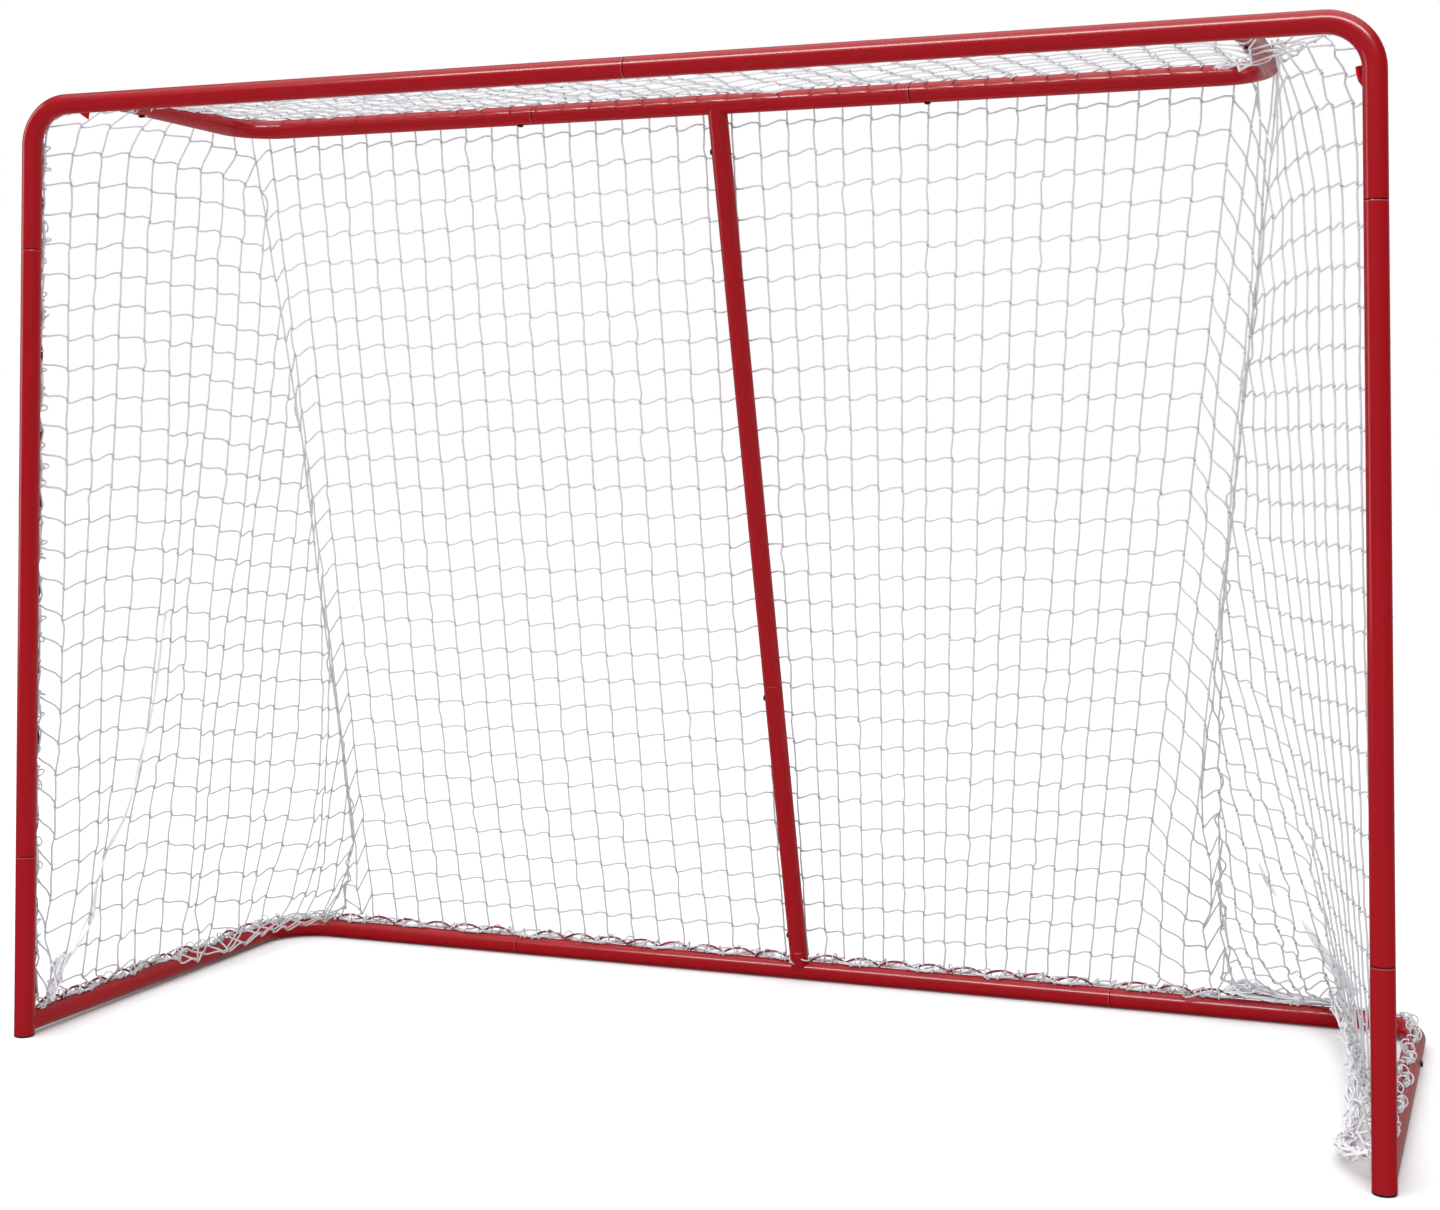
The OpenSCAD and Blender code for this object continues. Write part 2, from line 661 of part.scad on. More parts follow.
// Loose foot of the net, gathered in a rope that lies inside the right rail and is tied to the post.
// Each stop: inset from the post's axis, share of the base's depth, height, radius
gather_route = [
    [90.5, 0.950, 26, 9], [77.5, 0.911, 22, 12], [67.5, 0.813, 15, 13], [62.5, 0.699, 14, 12],
    [60.5, 0.585, 14, 13], [59.5, 0.472, 13, 12], [57.5, 0.358, 13, 11], [54.5, 0.260, 12, 11],
    [50.5, 0.179, 12, 10], [47.5, 0.127, 13, 12], [44.5, 0.094, 15, 14], [38.5, 0.072, 17, 11],
    [30.5, 0.055, 20, 9], [20.5, 0.044, 25, 9], [11.5, 0.036, 29, 8]];
gather_sides = 10;

module net_gather() {
    n = len(gather_route);
    function centre(i) = let (g = gather_route[i]) [post_x - g.x, post_y + g.y * base_depth, g.z];
    function ring(i) =
        let (a = centre(max(i - 1, 0)), b = centre(min(i + 1, n - 1)), t = (b - a) / norm(b - a),
             u = cross([0, 0, 1], t) / norm(cross([0, 0, 1], t)), w = cross(t, u), r = gather_route[i][3])
        [for (k = [0:gather_sides - 1])
            let (g = 360 * k / gather_sides, q = r * (1 + 0.12 * cos(3 * g + 40 * i)))
            centre(i) + q * (cos(g) * u + sin(g) * w)];
    points = concat([for (i = [0:n - 1]) each ring(i)], [centre(0), centre(n - 1)]);
    m = gather_sides;
    walls = [for (i = [0:n - 2], k = [0:m - 1]) each
        [[i * m + k, (i + 1) * m + k, (i + 1) * m + (k + 1) % m],
         [i * m + k, (i + 1) * m + (k + 1) % m, i * m + (k + 1) % m]]];
    ends = [for (k = [0:m - 1]) each
        [[n * m, k, (k + 1) % m], [n * m + 1, (n - 1) * m + (k + 1) % m, (n - 1) * m + k]]];
    color(net_white) polyhedron(points, concat(walls, ends));
}

// ---------------------------------------------------------------- the goal

top_tube_left();
top_tube_right();
side(-1) post_tube();  // post_tube_left
post_tube();  // post_tube_right
side(-1) base_tube();  // base_tube_left
base_tube();  // base_tube_right
side(-1) base_corner();  // base_corner_left
base_corner();  // base_corner_right
base_tee();
shelf_tee();
side(-1) shelf_arm();  // shelf_arm_left
shelf_arm();  // shelf_arm_right
centre_post_upper();
centre_post_lower();
side(-1) foot_cap();  // foot_cap_left
foot_cap();  // foot_cap_right
frame_screws();
lacing_rod_top();
side(-1) lacing_rod_post();  // lacing_rod_left_post
lacing_rod_post();  // lacing_rod_right_post
side(-1) lacing_rod_side();  // lacing_rod_left_base
lacing_rod_side();  // lacing_rod_right_base
lacing_rod_rear();
net_top();
net_back();
side(-1) net_side();  // net_left
net_side();  // net_right
border_cord_top();
side(-1) border_cord_post();  // border_cord_left
border_cord_post();  // border_cord_right
border_cord_base();
side(-1) corner_tab(90, tab_inset);  // corner_tab_left
corner_tab(0, -tab_drop);  // corner_tab_right
net_gather();
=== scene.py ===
# %% [markdown]
# # A floor-hockey goal and its knotted net
# The steel tubes, wires and screws come from the CAD model as they are. The CAD model has only a coarse
# stand-in for the net, so this scene makes the real one: about 2500 knots joined by cords that can hang slack
# but not stretch. The steps are:
#
# 1. the camera;
# 2. places on the frame, read from the CAD model;
# 3. tubes carried along many paths at once;
# 4. where the knots come to rest;
# 5. the cords, the knots, the border cord and the gathered parts;
# 6. materials, floor and light.

# %% The frame
import json
import math

import bpy
import numpy as np
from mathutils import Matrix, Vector


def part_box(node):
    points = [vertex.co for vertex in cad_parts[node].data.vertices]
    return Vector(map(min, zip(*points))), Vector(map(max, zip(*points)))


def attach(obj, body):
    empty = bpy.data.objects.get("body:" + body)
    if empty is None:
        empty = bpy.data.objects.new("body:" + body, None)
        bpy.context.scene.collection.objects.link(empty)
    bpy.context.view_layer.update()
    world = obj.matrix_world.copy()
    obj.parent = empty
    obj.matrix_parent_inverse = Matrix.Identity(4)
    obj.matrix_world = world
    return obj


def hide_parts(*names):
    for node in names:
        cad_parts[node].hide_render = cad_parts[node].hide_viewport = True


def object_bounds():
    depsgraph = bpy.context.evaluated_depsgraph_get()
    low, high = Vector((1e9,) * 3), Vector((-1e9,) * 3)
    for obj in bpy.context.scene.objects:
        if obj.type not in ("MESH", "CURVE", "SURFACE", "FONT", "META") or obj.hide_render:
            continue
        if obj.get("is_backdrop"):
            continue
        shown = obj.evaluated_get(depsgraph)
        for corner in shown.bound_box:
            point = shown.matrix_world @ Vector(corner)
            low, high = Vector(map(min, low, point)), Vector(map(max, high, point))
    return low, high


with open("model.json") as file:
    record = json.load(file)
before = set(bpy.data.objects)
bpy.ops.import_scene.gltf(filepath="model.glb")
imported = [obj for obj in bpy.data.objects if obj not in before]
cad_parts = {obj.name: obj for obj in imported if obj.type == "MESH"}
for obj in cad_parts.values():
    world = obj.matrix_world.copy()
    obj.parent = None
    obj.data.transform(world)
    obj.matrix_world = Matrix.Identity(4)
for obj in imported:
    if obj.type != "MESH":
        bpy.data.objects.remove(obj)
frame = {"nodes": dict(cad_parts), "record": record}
cad_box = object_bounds()
nodes = frame["nodes"]

# %% [markdown]
# ## Camera
# It stands to the right in front of the goal at 0.74 m, and looks back across the mouth. The lens keeps its
# axis almost level, so the picture is shifted instead of tilted and the posts stay upright.

# %% Camera
CAMERA_AT = (0.9666, -2.5728, 0.7406)
CAMERA_YAW = -0.36019
CAMERA_PITCH = 0.02841
FOCAL_WIDTHS = 1.51818        # focal length over the picture's width
LENS_SHIFT = (-0.0002, -0.1570)

camera = bpy.data.objects.new("camera", bpy.data.cameras.new("camera"))
bpy.context.scene.collection.objects.link(camera)
bpy.context.scene.camera = camera
camera.location = CAMERA_AT
look = Vector((math.sin(CAMERA_YAW) * math.cos(CAMERA_PITCH), math.cos(CAMERA_YAW) * math.cos(CAMERA_PITCH),
               math.sin(CAMERA_PITCH)))
camera.rotation_mode = "QUATERNION"
camera.rotation_quaternion = look.to_track_quat("-Z", "Y")
camera.data.sensor_width = 36.0
camera.data.lens = FOCAL_WIDTHS * camera.data.sensor_width
camera.data.shift_x, camera.data.shift_y = LENS_SHIFT
camera.data.clip_start, camera.data.clip_end = 0.1, 60.0

# %% [markdown]
# ## Places on the frame
# The tubes' places come from the boxes of the CAD nodes, so the net follows the frame. Only what no box shows
# is typed: the bends, the slope of the side rails and the pitch of the wavy wires.

# %% Places
def node_box(name):
    """Lowest and highest corner of a CAD node, as two arrays in metres."""
    low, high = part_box(name)
    return np.array(low), np.array(high)


post_low, post_high = node_box("post_tube_right")
POST_X, POST_Y = (post_low[:2] + post_high[:2]) / 2
TUBE_R = (post_high[0] - post_low[0]) / 2
TOP_Z = node_box("top_tube_right")[1][2] - TUBE_R
ARM_X, SHELF_Y = node_box("shelf_arm_right")[1][:2] - TUBE_R
REAR_Y = node_box("base_corner_right")[1][1] - TUBE_R
REAR_Z = TUBE_R
RAIL_Z = 0.0165               # height of the side rails' axis at the posts
TOP_BEND = 0.050              # bend radii on the tubes' axes
SHELF_BEND = 0.060
BASE_BEND = 0.075
ROD_PITCH = 0.0485            # from one weld of the wavy wires to the next
ARC_POINTS = 13               # points on a bend
rng = np.random.default_rng(41)
print(f"tubes of {2000 * TUBE_R:.1f} mm, mouth {2 * POST_X:.3f} x {TOP_Z:.3f} m between their axes")

# %% Paths of the tubes
def rail_height(y):
    """Height of the base's axis at depth y: it falls evenly from the posts to the rear bar."""
    return RAIL_Z + (REAR_Z - RAIL_Z) * (y - POST_Y) / (REAR_Y - POST_Y)


def arc(centre, u, v, radius, start, stop, count=ARC_POINTS):
    """Points centre + radius (u cos a + v sin a) for a from start to stop, in degrees."""
    a = np.radians(np.linspace(start, stop, count))[:, None]
    return np.array(centre) + radius * (np.array(u) * np.cos(a) + np.array(v) * np.sin(a))


def along(points, s):
    """Points at the distances s along a polyline. Distances are in metres from its first point."""
    points = np.asarray(points, float)
    run = np.concatenate([[0.0], np.cumsum(np.linalg.norm(np.diff(points, axis=0), axis=1))])
    return np.stack([np.interp(s, run, points[:, i]) for i in range(3)], axis=-1)


def path_length(points):
    """Length of a polyline."""
    return float(np.linalg.norm(np.diff(points, axis=0), axis=1).sum())


X, Y, Z = np.eye(3)


def bent_bar(half, foot, up, level, bend, count=ARC_POINTS):
    """Path of a tube with two bends: from foot = (y, z) at x = -half along up, across at level, and back."""
    inner = np.where(up > 0, level - bend, [0, *foot])
    aside = (half - bend) * X
    return np.concatenate([
        [[-half, *foot]], arc(inner - aside, -X, up, bend, 0, 90, count),
        arc(inner + aside, up, X, bend, 0, 90, count), [[half, *foot]]])


front_axis = bent_bar(POST_X, (POST_Y, 0), Z, TOP_Z, TOP_BEND)
base_axis = bent_bar(POST_X, (POST_Y, 0), Y, REAR_Y, BASE_BEND)
base_axis[:, 2] = rail_height(base_axis[:, 1])
shelf_axis = bent_bar(ARM_X, (POST_Y, TOP_Z), Y, SHELF_Y, SHELF_BEND, 5)
centre_axis = np.array([[0, SHELF_Y, TOP_Z], [0, REAR_Y, REAR_Z]])
TUBES = [front_axis, base_axis, shelf_axis, centre_axis]
tube_from = np.concatenate([t[:-1] for t in TUBES])
tube_to = np.concatenate([t[1:] for t in TUBES])

# %% Out of the tubes
def pushed_out(points, clearance):
    """Moves points that are closer to a tube's axis than its radius plus clearance straight out to there.

    For the piece of axis from A to B, the nearest point is A + t (B - A). There t is
    (P - A).(B - A) / |B - A|^2, held between 0 and 1.
    """
    shape = points.shape
    p = points.reshape(-1, 3).copy()
    for a, b in zip(tube_from, tube_to):
        d = b - a
        t = np.clip((p - a) @ d / (d @ d), 0, 1)
        away = p - (a + t[:, None] * d)
        distance = np.linalg.norm(away, axis=1)
        near = distance < TUBE_R + clearance
        p[near] += away[near] * ((TUBE_R + clearance) / np.maximum(distance[near], 1e-6) - 1)[:, None]
    return p.reshape(shape)


# %% [markdown]
# ## Tubes along many paths at once
# A curve with a bevel would make one cord at a time. `tubes` carries a ring along n paths of m points each
# instead, so a whole panel of net is one call. UV holds the distance along the cord in u, in metres, and the
# share of a turn round it in v, for the twist of the strands.

# %% Arrays into a mesh
def unit(v):
    """Vectors scaled to length 1."""
    return v / np.maximum(np.linalg.norm(v, axis=-1, keepdims=True), 1e-12)


def mesh_object(name, verts, quads, uv=None):
    """A smooth-shaded object from arrays of vertices, four-sided faces and one UV pair per face corner."""
    print(f"{name}: {len(verts)} points, {len(quads)} faces")
    mesh = bpy.data.meshes.new(name)
    mesh.vertices.add(len(verts))
    mesh.vertices.foreach_set("co", np.ascontiguousarray(verts, np.float32).ravel())
    mesh.loops.add(quads.size)
    mesh.loops.foreach_set("vertex_index", np.ascontiguousarray(quads, np.int32).ravel())
    mesh.polygons.add(len(quads))
    mesh.polygons.foreach_set("loop_start", np.arange(0, quads.size, 4, dtype=np.int32))
    mesh.update(calc_edges=True)
    mesh.polygons.foreach_set("use_smooth", np.ones(len(quads), bool))
    if uv is not None:
        mesh.uv_layers.new(name="UVMap").data.foreach_set("uv", np.ascontiguousarray(uv, np.float32).ravel())
    obj = bpy.data.objects.new(name, mesh)
    bpy.context.scene.collection.objects.link(obj)
    return obj


# %% Tubes
TIP = 0.02                    # size of the ring at an open end, as a share of the cord's
STEEP = 0.7                   # from this rise on, a cord's side direction is made with X and not with Z


def tubes(paths, radius, sides=6, closed=False):
    """Arrays (vertices, quads, uv) of round cords of one radius along n paths of m points each.

    At each point with tangent T the ring is P + radius (N cos a + B sin a). N is one side direction per path,
    made square to T, and B = T x N. Open ends are drawn in nearly to a point, to TIP of the radius.
    """
    paths = np.asarray(paths, float)
    n, m = paths.shape[:2]
    if closed:
        t = unit(np.roll(paths, -1, 1) - np.roll(paths, 1, 1))
        spine = unit(np.cross(t, np.roll(t, 1, 1)).sum(1))
        side = np.repeat(spine[:, None], m, 1)
    else:
        t = unit(np.gradient(paths, axis=1))
        chord = unit(paths[:, -1] - paths[:, 0])
        helper = np.where(np.abs(chord[:, 2:]) < STEEP, Z, X)
        side = np.repeat(unit(np.cross(chord, helper))[:, None], m, 1)
    normal = unit(side - (side * t).sum(-1, keepdims=True) * t)
    across = np.cross(t, normal)
    turn = np.linspace(0, 2 * np.pi, sides, endpoint=False)
    size = np.full(m, radius)
    if not closed:
        size[[0, -1]] *= TIP
    ring = normal[:, :, None] * np.cos(turn)[:, None] + across[:, :, None] * np.sin(turn)[:, None]
    verts = paths[:, :, None] + ring * size[:, None, None]
    spans = m if closed else m - 1
    i = np.arange(n)[:, None, None] * m * sides
    j, k = np.arange(spans)[None, :, None], np.arange(sides)[None, None, :]
    j2, k2 = (j + 1) % m, (k + 1) % sides
    quads = np.stack([i + j * sides + k, i + j * sides + k2, i + j2 * sides + k2, i + j2 * sides + k], -1)
    step = np.linalg.norm(np.diff(paths, axis=1, append=paths[:, :1]), axis=2)
    u = np.concatenate([np.zeros((n, 1)), np.cumsum(step, 1)], 1)
    u0, u1 = u[:, :spans, None], u[:, 1:spans + 1, None]
    v0, v1 = k / sides, (k + 1) / sides
    corners = ((u0, v0), (u0, v1), (u1, v1), (u1, v0))
    uv = np.stack([np.stack(np.broadcast_arrays(*corner), -1) for corner in corners], -2)
    return verts.reshape(-1, 3), quads.reshape(-1, 4), uv.reshape(-1, 4, 2)


def joined(parts):
    """Several (vertices, quads, uv) as one."""
    start = np.cumsum([0] + [len(verts) for verts, _, _ in parts[:-1]])
    moved = [(verts, quads + first, uv) for (verts, quads, uv), first in zip(parts, start)]
    return tuple(np.concatenate(arrays) for arrays in zip(*moved))


# %% [markdown]
# ## The net's knots
# The net is a box of square meshes without a front or a floor: a back of 40 by 30 meshes, a top of 40 by 8,
# and two sides that are 8 meshes wide under the shelf's arm and 20 at the floor. The knots of one side's
# slanted rear edge are those of the back's edge. A cord can be slack but not longer than it was tied, so a
# pair of knots at distance d is drawn together by d - L where d > L, and let be otherwise.

# %% Net layout
ROWS, BACK_COLS, TOP_ROWS, SIDE_COLS = 30, 40, 8, 20
CORD_R = 0.00125
CORD_ROW = 0.0382             # length of a cord across the net
CORD_COLUMN = 0.0393          # length of a cord down the net
CORD_TOP = 0.0356             # length of a cord from the front to the back of the top
CORD_EXTRA = 0.0415           # length of a cord down the right side's two upper rows
CORD_SPREAD = 0.0004          # how unevenly the cords are tied

row = np.arange(ROWS + 1)
side_count = TOP_ROWS + np.round((SIDE_COLS - TOP_ROWS) * row / ROWS).astype(int)
grid = np.arange((ROWS + 1) * (2 * SIDE_COLS + BACK_COLS + 1)).reshape(ROWS + 1, -1)
LEFT_EDGE, RIGHT_EDGE = SIDE_COLS, SIDE_COLS + BACK_COLS
place = np.arange(SIDE_COLS)
unused = place[None, :] >= side_count[:, None]
grid[:, :SIDE_COLS] = np.where(unused, grid[:, LEFT_EDGE:LEFT_EDGE + 1], grid[:, :SIDE_COLS])
grid[:, :RIGHT_EDGE:-1] = np.where(unused, grid[:, RIGHT_EDGE:RIGHT_EDGE + 1], grid[:, :RIGHT_EDGE:-1])
top = grid.size + np.arange((TOP_ROWS + 1) * (BACK_COLS + 1)).reshape(TOP_ROWS + 1, -1)
top[0] = grid[0, LEFT_EDGE:RIGHT_EDGE + 1]
top[1:, 0] = grid[0, TOP_ROWS - 1::-1]
# The right side is laced two rows higher than the back, so two more rows lie between its row 0 and the arm.
EXTRA = 2
extra = top.max() + 1 + np.arange(EXTRA * (TOP_ROWS + 1)).reshape(EXTRA, -1)
top[:, -1] = extra[0, ::-1]
extra_rows = np.concatenate([extra, np.append(grid[0, ::-1][:TOP_ROWS], grid[0, RIGHT_EDGE])[None]])

# %% Cords as pairs of knots
def pairs(a, b):
    """Different pairs of knots from two arrays of numbers, each pair once."""
    p = np.stack([a.ravel(), b.ravel()], 1)
    p = p[p[:, 0] != p[:, 1]]
    return p[np.unique(np.sort(p, 1), axis=0, return_index=True)[1]]


def only_new(p, old):
    """The pairs of p that aren't in old."""
    key = np.array([10 ** 5, 1])      # there are far fewer knots than that
    return p[~np.isin(np.sort(p, 1) @ key, np.sort(old, 1) @ key)]


grid_across = pairs(grid[:, :-1], grid[:, 1:])
grid_down = only_new(pairs(grid[:-1], grid[1:]), grid_across)
extra_across = pairs(extra_rows[:-1, :-1], extra_rows[:-1, 1:])
extra_down = pairs(extra_rows[:-1], extra_rows[1:])
grid_all = np.concatenate([grid_across, grid_down, extra_across, extra_down])
top_across = only_new(pairs(top[1:, :-1], top[1:, 1:]), grid_all)
top_down = only_new(pairs(top[:-1, 1:-1], top[1:, 1:-1]), grid_all)

# %% [markdown]
# ### Where the net is tied
# The border follows the wavy wires: behind the posts and the top bar, and on top of the base. The left front
# corner of the top is tied under the bar, the right one beside the post.

# %% Ties
EDGE_OUT = TUBE_R + 0.0035    # from a tube's axis to the knots beside the border cord
POST_IN, BEND_IN, BAR_IN = 0.004, 0.006, 0.005     # how far inside the tubes' axes the net is tied
LEFT_CORNER = np.array([-0.7455, POST_Y + 0.0195, TOP_Z - 0.0125])
LEFT_CORNER_END = LEFT_CORNER + [0.05, -0.002, 0.006]
RIGHT_CORNER_TURN = 62.0      # how far round the right top bend the corner is tied, in degrees
LEFT_CORNER_TURN = 6.0        # and the left one
FOOT_Z = 0.044                # height of the lowest tie on a post
BASE_TIE = 0.006              # from the base's tubes up to the ties
RAIL_START = 0.027            # from a post's axis to the first tie on a side rail

behind = EDGE_OUT * Y
left_bend, right_bend = [np.array([side * (POST_X - TOP_BEND), POST_Y, TOP_Z - TOP_BEND]) for side in (-1, 1)]
post_line_left = np.concatenate([
    arc(left_bend, Z, -X, TOP_BEND - POST_IN, LEFT_CORNER_TURN, 90),
    [[-POST_X + POST_IN, POST_Y, FOOT_Z]]]) + behind
post_line_right = np.concatenate([
    arc(right_bend, Z, X, TOP_BEND - BEND_IN, RIGHT_CORNER_TURN, 90),
    [[POST_X - POST_IN, POST_Y, FOOT_Z]]]) + behind
bar_line = np.concatenate([
    [LEFT_CORNER, LEFT_CORNER_END],
    arc(right_bend + behind, Z, X, TOP_BEND - BAR_IN, 0, RIGHT_CORNER_TURN)])
base_line = base_axis + (TUBE_R + BASE_TIE) * Z
base_line[[0, -1], 1] += RAIL_START
BACK_OUT = unit(np.cross(centre_axis[0] - centre_axis[1], X))    # square to the back, away from the mouth


def in_back(x, z, out):
    """Points at the places x and heights z in the back's plane, at a distance out behind its tubes' axes."""
    share = (TOP_Z - z) / (TOP_Z - REAR_Z)
    return np.stack([x, SHELF_Y + (REAR_Y - SHELF_Y) * share, z], -1) + out * BACK_OUT


# %% Places of the back's knots
# Where some columns of the back run: x in millimetres at these heights. Column 0 is the left crease, which
# stays upright. The right one, column 40, is drawn inwards, and the four columns beside it crowd together.
HEIGHTS = np.array([1150, 920, 730, 530, 325, 150, 92, 62, 32])
COLUMN_X = {
    0: [-688, -682, -678, -684, -685, -690, -708, -717, -722],
    1: [-660, -651, -651, -654, -657, -667, -682, -693, -704],
    2: [-621, -613, -615, -617, -627, -643, -655, -662, -668],
    19: [14, 10, -2, -19, -36, -32, -25, -20, -20],
    36: [639, 576, 545, 516, 492, 470, 464, 458, 455],
    37: [663, 602, 571, 542, 519, 502, 496, 491, 487],
    38: [671, 622, 590, 566, 542, 530, 527, 523, 520],
    39: [680, 640, 604, 580, 561, 554, 553, 553, 555],
    40: [686, 652, 622, 594, 580, 574, 576, 582, 590]}
# Heights of the knots of the two creases, by row. The net's top corners hang low, most of all the right one.
LEFT_ROWS, LEFT_Z = [0, 4, 10, 13, 20, 25, 28, 30], [1160, 1003, 752, 631, 345, 150, 78, 32]
RIGHT_ROWS, RIGHT_Z = [0, 1, 4, 7, 18, 25, 28, 30], [1069, 1030, 900, 793, 380, 180, 85, 32]
# Heights of the knots on the right post. The net has more rows than the post takes up, so the last lie close.
POST_ROWS, POST_Z = [0, 24, 28, 30], [1083, 92, 48, 38]
FIRST_Z, LAST_Z = (1168, 1155), (44, 33)    # heights of rows 0 and 30 elsewhere, on the left and on the right
LEFT_SHARE = [1, 0.67, 0.4, 0.2, 0.05]      # how far the columns beside a crease follow its knots' heights
RIGHT_SHARE = [1, 0.76, 0.52, 0.19]
SHELF_TIE = 0.010             # height of row 0 over the shelf's axis
NOT_ON_SHELF = 3              # columns beside the right crease that hang lower than the shelf
BACK_GAP = 0.0015             # from the tubes to the back's knots


def back_places():
    """Places of the back's knots, as rows x columns x 3, from the tables above."""
    rows, cols = np.arange(ROWS + 1), np.arange(BACK_COLS + 1)
    edge = cols / BACK_COLS
    first, last = np.interp(edge, [0, 1], FIRST_Z), np.interp(edge, [0, 1], LAST_Z)
    z = first + (last - first) * (rows / ROWS)[:, None]
    share_left, share_right = np.zeros(len(cols)), np.zeros(len(cols))
    share_left[:len(LEFT_SHARE)] = LEFT_SHARE
    share_right[:-len(RIGHT_SHARE) - 1:-1] = RIGHT_SHARE
    z = z + (np.interp(rows, LEFT_ROWS, LEFT_Z)[:, None] - z[:, :1]) * share_left
    z = z + (np.interp(rows, RIGHT_ROWS, RIGHT_Z)[:, None] - z[:, -1:]) * share_right
    z[0] = np.maximum(z[0], np.where(cols < BACK_COLS - NOT_ON_SHELF, 1e3 * (TOP_Z + SHELF_TIE), 0))
    known = np.array(sorted(COLUMN_X))
    x_at = np.stack([np.interp(z, HEIGHTS[::-1], COLUMN_X[c][::-1]) for c in known])
    x = np.stack([np.array([np.interp(c, known, x_at[:, j, c]) for c in cols]) for j in rows])
    return in_back(x / 1000, z / 1000, TUBE_R + BACK_GAP)


# %% Ties at the shelf and the right foot
# Where the side nets hang from the shelf: offsets from the right arm's axis, and from the shelf's corner
ARM_TIES = ((0.0175, 0.10, 0.003), (0.010, 0.19, 0.0105))
CORNER_TIE = ((0.003, 0.004, -0.002),)
arm_line = np.array([ARM_X, POST_Y, TOP_Z]) + ARM_TIES
shelf_corner = np.array([ARM_X, SHELF_Y, TOP_Z]) + CORNER_TIE
# Foot of the right side: from the crease along the rear bar to the corner, and then in the gathered bundle
# that runs over the floor to the post
FOOT_SHARE = [0, 0.25, 0.45, 0.62, 1]        # of the side's columns, from the crease
foot_path_right = np.array([
    [0.590, REAR_Y, 0.032], [0.690, REAR_Y, 0.034], [0.722, REAR_Y - 0.040, 0.038],
    [0.742, REAR_Y - 0.140, 0.022], [0.7995, POST_Y + 0.0195, 0.040]])
RIGHT_LIFT = 0.016            # how far the right side's rows arch up in the middle
RIGHT_LEVEL = 0.9             # and how strongly they keep the post's height before they fall to the crease's
TOP_LIFT = 0.004              # how far the top's knots start above its ties

# %% First guess of all knots
def spread(line, count):
    """count points spread evenly along a line."""
    return along(line, np.linspace(0, path_length(line), count))


def net_start():
    """Knots laid straight between the ties, as a first guess."""
    x = np.zeros((extra.max() + 1, 3))
    left = spread(post_line_left, ROWS + 1)
    heights = np.interp(row, POST_ROWS, POST_Z) / 1000
    right = np.stack([np.interp(heights, post_line_right[::-1, 2], post_line_right[::-1, 0]),
                      np.full(ROWS + 1, POST_Y + EDGE_OUT), heights], 1)
    front = spread(bar_line, BACK_COLS + 1)
    back = back_places()
    back[-1, :, 1:] = [REAR_Y, base_line[len(base_line) // 2, 2]]
    x[grid[:, LEFT_EDGE:RIGHT_EDGE + 1]] = back
    turn = (REAR_Y - POST_Y - BASE_BEND - RAIL_START) + BASE_BEND * np.pi / 2
    foot_length = turn + POST_X - BASE_BEND + back[-1, 0, 0]
    foot_left = along(base_line, np.linspace(0, foot_length, SIDE_COLS + 1))
    share = np.linspace(1, 0, SIDE_COLS + 1)
    foot_right = np.stack([np.interp(share, FOOT_SHARE, foot_path_right[:, i]) for i in range(3)], 1)
    for j in range(ROWS + 1):
        share = (np.arange(side_count[j]) / side_count[j])[:, None]
        from_left, from_right = grid[j, :side_count[j]], grid[j, ::-1][:side_count[j]]
        x[from_left] = left[j] + (back[j, 0] - left[j]) * share
        x[from_right] = right[j] + (back[j, -1] - right[j]) * share
        drop = share * (1 - share) * (back[j, -1, 2] - right[j, 2])
        x[from_right, 2] += (RIGHT_LIFT * np.sin(np.pi * share) - RIGHT_LEVEL * drop)[:, 0]
    left_arm = np.concatenate([left[:1], arm_line * [-1, 1, 1], back[:1, 0]])
    x[grid[0, :TOP_ROWS]] = spread(left_arm, TOP_ROWS + 1)[:-1]
    x[extra[0]] = spread(np.concatenate([post_line_right[:1], arm_line, shelf_corner]), TOP_ROWS + 1)
    x[extra[1]] = (x[extra[0]] + x[extra_rows[2]]) / 2
    x[grid[-1, :SIDE_COLS]] = foot_left[:-1]
    x[grid[-1, ::-1][:SIDE_COLS]] = foot_right[:-1]
    forward = (np.arange(1, TOP_ROWS) / TOP_ROWS)[:, None, None]
    x[top[1:-1, 1:-1]] = (back[0] + (front - back[0]) * forward)[:, 1:-1]
    x[top[1:-1, 1:-1], 2] += TOP_LIFT
    x[top[-1, 1:-1]] = front[1:-1]
    return x


knots = net_start()
tied = np.zeros(len(knots), bool)
tied[grid[:, 0]] = tied[grid[:, -1]] = tied[grid[-1]] = tied[top[-1]] = True
tied[grid[0, LEFT_EDGE:RIGHT_EDGE + 1]] = tied[grid[:, LEFT_EDGE]] = tied[grid[:, RIGHT_EDGE]] = True
on_left_arm = grid[0, 3:TOP_ROWS - 1]
tied[on_left_arm] = tied[extra[0]] = tied[extra[1, [0, -1]]] = True
used = np.unique(np.concatenate([grid.ravel(), top.ravel(), extra.ravel()]))
print(f"net: {len(used)} knots, {tied[used].sum()} of them tied")

# %% [markdown]
# ### The net at rest
# Blender's cloth could settle such a net, with springs that give a little. A relaxation in numpy keeps the
# cords to their lengths instead, and gives the same net on every run. Each pass moves the loose knots on by
# what they moved before, adds gravity and shortens the cords that are too long. The tubes push knots out.

# %% Net at rest
centre_column = LEFT_EDGE + BACK_COLS // 2
middle = grid[1:-1, centre_column:centre_column + 2].ravel()      # knots that lie against the centre post
near_bar = top[1:3, :-1]      # the two rows of the top in front of the shelf's bar
BAR_LIFT = 0.002              # and their least height over its axis


